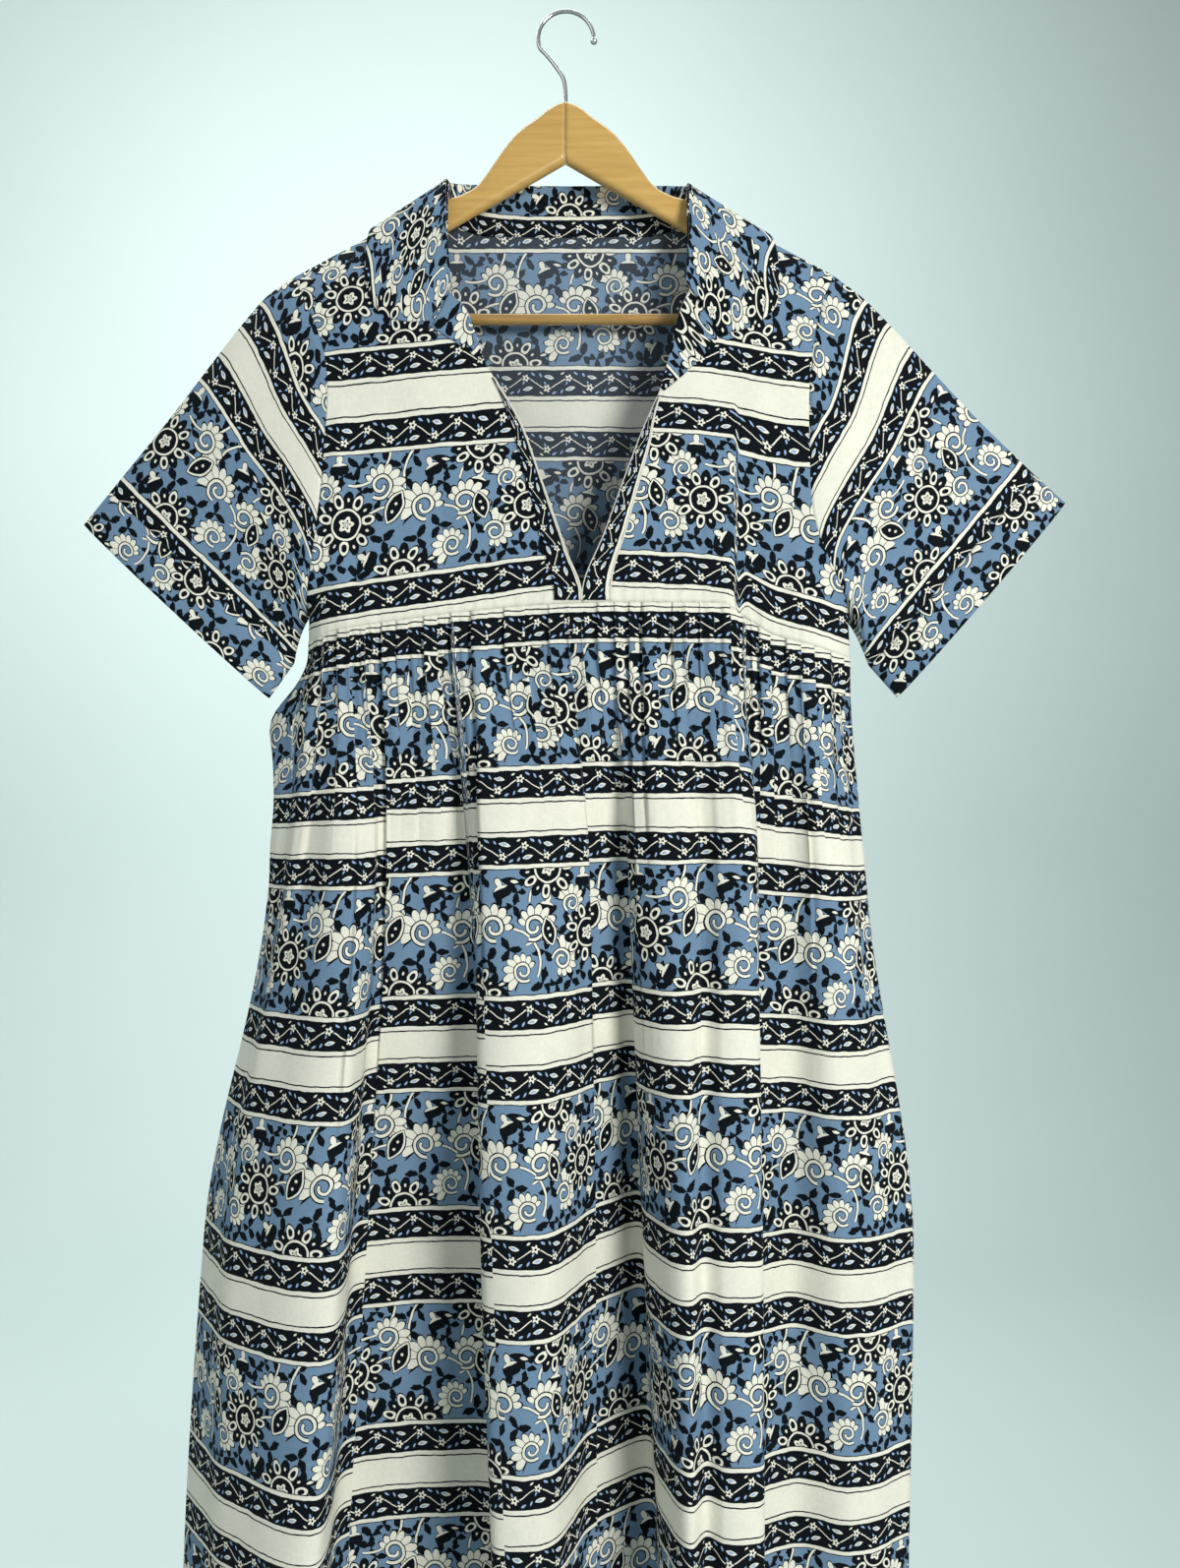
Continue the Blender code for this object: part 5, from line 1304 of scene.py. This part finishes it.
def skirt(face, knots_at, per_fold, print_start):
    drops = np.unique(np.concatenate([
        [0, 1.5, 3.5, 6, 9, 12.5, 16.5, 21, 26, 32, 38, 45, 53, 61, 70, 80, 90],
        np.linspace(100, LEVELS[-1], 84)]))
    pleats = PLEATS[face]
    places, second, pleat, under = skirt_columns(knots_at(0), per_fold, pleats)
    count = len(places)
    seam_row = ring_at(knots_at(0), places)
    sign = -1 if face == "front" else 1
    depth_of = front_y if face == "front" else back_y
    seam_y = np.array([depth_of(x, waist_z(x)) for x in seam_row[:, 0]])
    seam_z = np.array([waist_z(x) for x in seam_row[:, 0]])
    low = ring_at(knots_at(LEVELS[2]), places)
    along = np.concatenate([[0], np.cumsum(np.linalg.norm(np.diff(low, axis=0), axis=1))])
    wave = np.array([gathers(a) for a in along])
    wide = np.array([math.sin(a * 0.11 + 1.1 * math.sin(a * 0.023)) for a in along])
    fade = np.clip(np.minimum(np.arange(count), np.arange(count)[::-1]) / 8, 0, 1)
    lifts = []
    for k, row in enumerate(pleats):
        edge = along[pleat == k][0]
        left_over = row[1] == "l"
        left = (along < edge) | ((pleat == k) & (second == 1))
        on_top = left == left_over
        gap = np.abs(along - edge)
        lifts.append(np.where(on_top, np.exp(-gap / BESIDE_PLEAT[True]),
                              -0.8 * np.exp(-gap / BESIDE_PLEAT[False])))
    few = [k for k, row in enumerate(pleats) if row[3] >= WIDE_PANELS[face]]
    wide_middle = panels(few, second, pleat, count)
    narrow_middle = panels(range(len(pleats)), second, pleat, count)
    wide_level, narrow_level = (0.7 * (seam_z[m] - seam_z) for m in (wide_middle, narrow_middle))
    heights, amounts = zip(*GATHER_DEPTH)
    grid = np.empty((len(drops), count, 3))
    uvs = np.empty((len(drops), count, 2))
    for r, drop in enumerate(drops):
        ring = ring_at(knots_at(drop), places)
        settle = smoothstep(drop / 70)
        line = np.stack([seam_row[:, 0] + (ring[:, 0] - seam_row[:, 0]) * settle,
                         seam_y + (ring[:, 1] - seam_y) * settle], 1)
        steps = np.linalg.norm(np.diff(line, axis=0), axis=1)
        run = np.concatenate([[0], np.cumsum(steps)])
        gap = np.maximum(np.gradient(places), 1e-6)
        way = np.stack([np.gradient(line[:, 0]), np.gradient(line[:, 1])], 1)
        size = np.maximum(np.linalg.norm(way, axis=1), 1e-6)
        way /= size[:, None]
        room = np.minimum(size / gap / 10, 1)
        long = 1.5 * smoothstep(drop / 60) * (1 - 0.6 * smoothstep((drop - 200) / 400))
        lift = (wave * value_at(heights, amounts, drop) + wide * long) * fade * room
        back = np.zeros(count)
        for k, (_, _, height, lasts) in enumerate(pleats):
            amount = height * (0.3 + 0.7 * smoothstep(drop / PLEAT_STARTS))
            amount *= 1 - smoothstep((drop / lasts - 0.45) / 0.55)
            lift = lift + lifts[k] * amount * room
            back[pleat == k] = 0.7 * amount - 0.2
        grid[r, :, :2] = line + way * (under * back)[:, None]
        grid[r, :, 0] -= way[:, 1] * sign * lift
        grid[r, :, 1] += way[:, 0] * sign * lift
        grid[r, :, 2] = seam_z - drop
        if face == "front":
            grid[r, :, 2] += 1.5 * smoothstep((drop - 790) / 40) * wide
        apart = 1 - smoothstep((drop - 60) / 130)
        middle_u = [along[m] + run - run[m] for m in (wide_middle, narrow_middle)]
        uvs[r, :, 0] = middle_u[0] * (1 - apart) + middle_u[1] * apart + print_start
        level = wide_level * (1 - apart) + narrow_level * apart
        uvs[r, :, 1] = (PRINT_AT_SEAM - drop - level) * PRINT_SCALE
    grid[:, [0, -1], 1] += sign * SEAM_GAP / 2
    made = cloth_piece("skirt_piece_" + face, grid, uvs, ["skirt_" + face], (0, -sign, 0))


skirt("front", front_knots, 15, 0)
skirt("back", back_knots, 24, 60)


# Room. A plain pale floor that sweeps up into a far backdrop, with painted light that makes it
# brighter towards the left, soft light from the front and the lower right, and the camera
# level with the waist.
def sweep():
    made, tree, shader = new_material("pale_paint_with_painted_light", 0.95)
    place = tree.nodes.new("ShaderNodeTexCoord").outputs["Object"]
    patchy = noise(tree, place, 1.3, 3)
    # Painted light: the floor and backdrop grow brighter towards the left. The patchy noise on top is
    # uneven paint.
    painted_light_and_patchy_paint = parts_of(tree, place)[0] * -0.2 + patchy * 0.16 + 0.42
    tint = ramp(tree, painted_light_and_patchy_paint, [(0.0, (0.49, 0.575, 0.565)), (1.0, (0.75, 0.855, 0.835))])
    tree.links.new(tint, shader.inputs["Base Color"])
    profile = [(-5, -2.0), (2.4, -2.0)]
    profile += [(2.4 + 1.2 * math.sin(a), -2.0 + 1.2 * (1 - math.cos(a)))
                for a in np.radians(np.linspace(6, 90, 15))]
    profile += [(3.6, 3.4)]
    points = [(x, y, z) for y, z in profile for x in (-6, 6)]
    faces = [(2 * k, 2 * k + 1, 2 * k + 3, 2 * k + 2) for k in range(len(profile) - 1)]
    mesh = bpy.data.meshes.new("floor")
    mesh.from_pydata(points, [], faces)
    mesh.materials.append(made)
    mesh.shade_smooth()
    floor = bpy.data.objects.new("floor", mesh)
    bpy.context.collection.objects.link(floor)


def area_light(name, place, aim, size, power, colour):
    light = bpy.data.lights.new(name, "AREA")
    light.shape, light.size, light.energy, light.color = "DISK", size, power, colour
    made = bpy.data.objects.new(name, light)
    made.location = place
    made.rotation_euler = (Vector(aim) - Vector(place)).to_track_quat("-Z", "Y").to_euler()
    bpy.context.collection.objects.link(made)


sweep()
area_light("main", (1.3, -2.0, -0.2), (0, 0, -0.6), 0.9, 48, (1.0, 0.99, 0.96))
area_light("fill", (-1.8, -2.2, 0.4), (0, 0, -0.6), 2.0, 9, (0.93, 0.97, 1.0))
area_light("over", (-0.4, 0.6, 1.4), (-0.2, 3.6, -0.1), 2.5, 112, (0.96, 1.0, 1.0))
world = bpy.data.worlds.new("room")
bpy.context.scene.world = world
world.use_nodes = True
world.node_tree.nodes["Background"].inputs["Color"].default_value = (0.86, 0.93, 0.92, 1)
world.node_tree.nodes["Background"].inputs["Strength"].default_value = 0.34
lens_data = bpy.data.cameras.new("view")
lens_data.sensor_width, lens_data.lens = 36, 27.05
lens_data.clip_end = 50
camera = bpy.data.objects.new("view", lens_data)
camera.location = (0.0195, -0.934, -0.611)
camera.rotation_euler = (math.pi / 2, 0, 0)
bpy.context.collection.objects.link(camera)
bpy.context.scene.camera = camera
bpy.context.scene.view_settings.view_transform = "Standard"
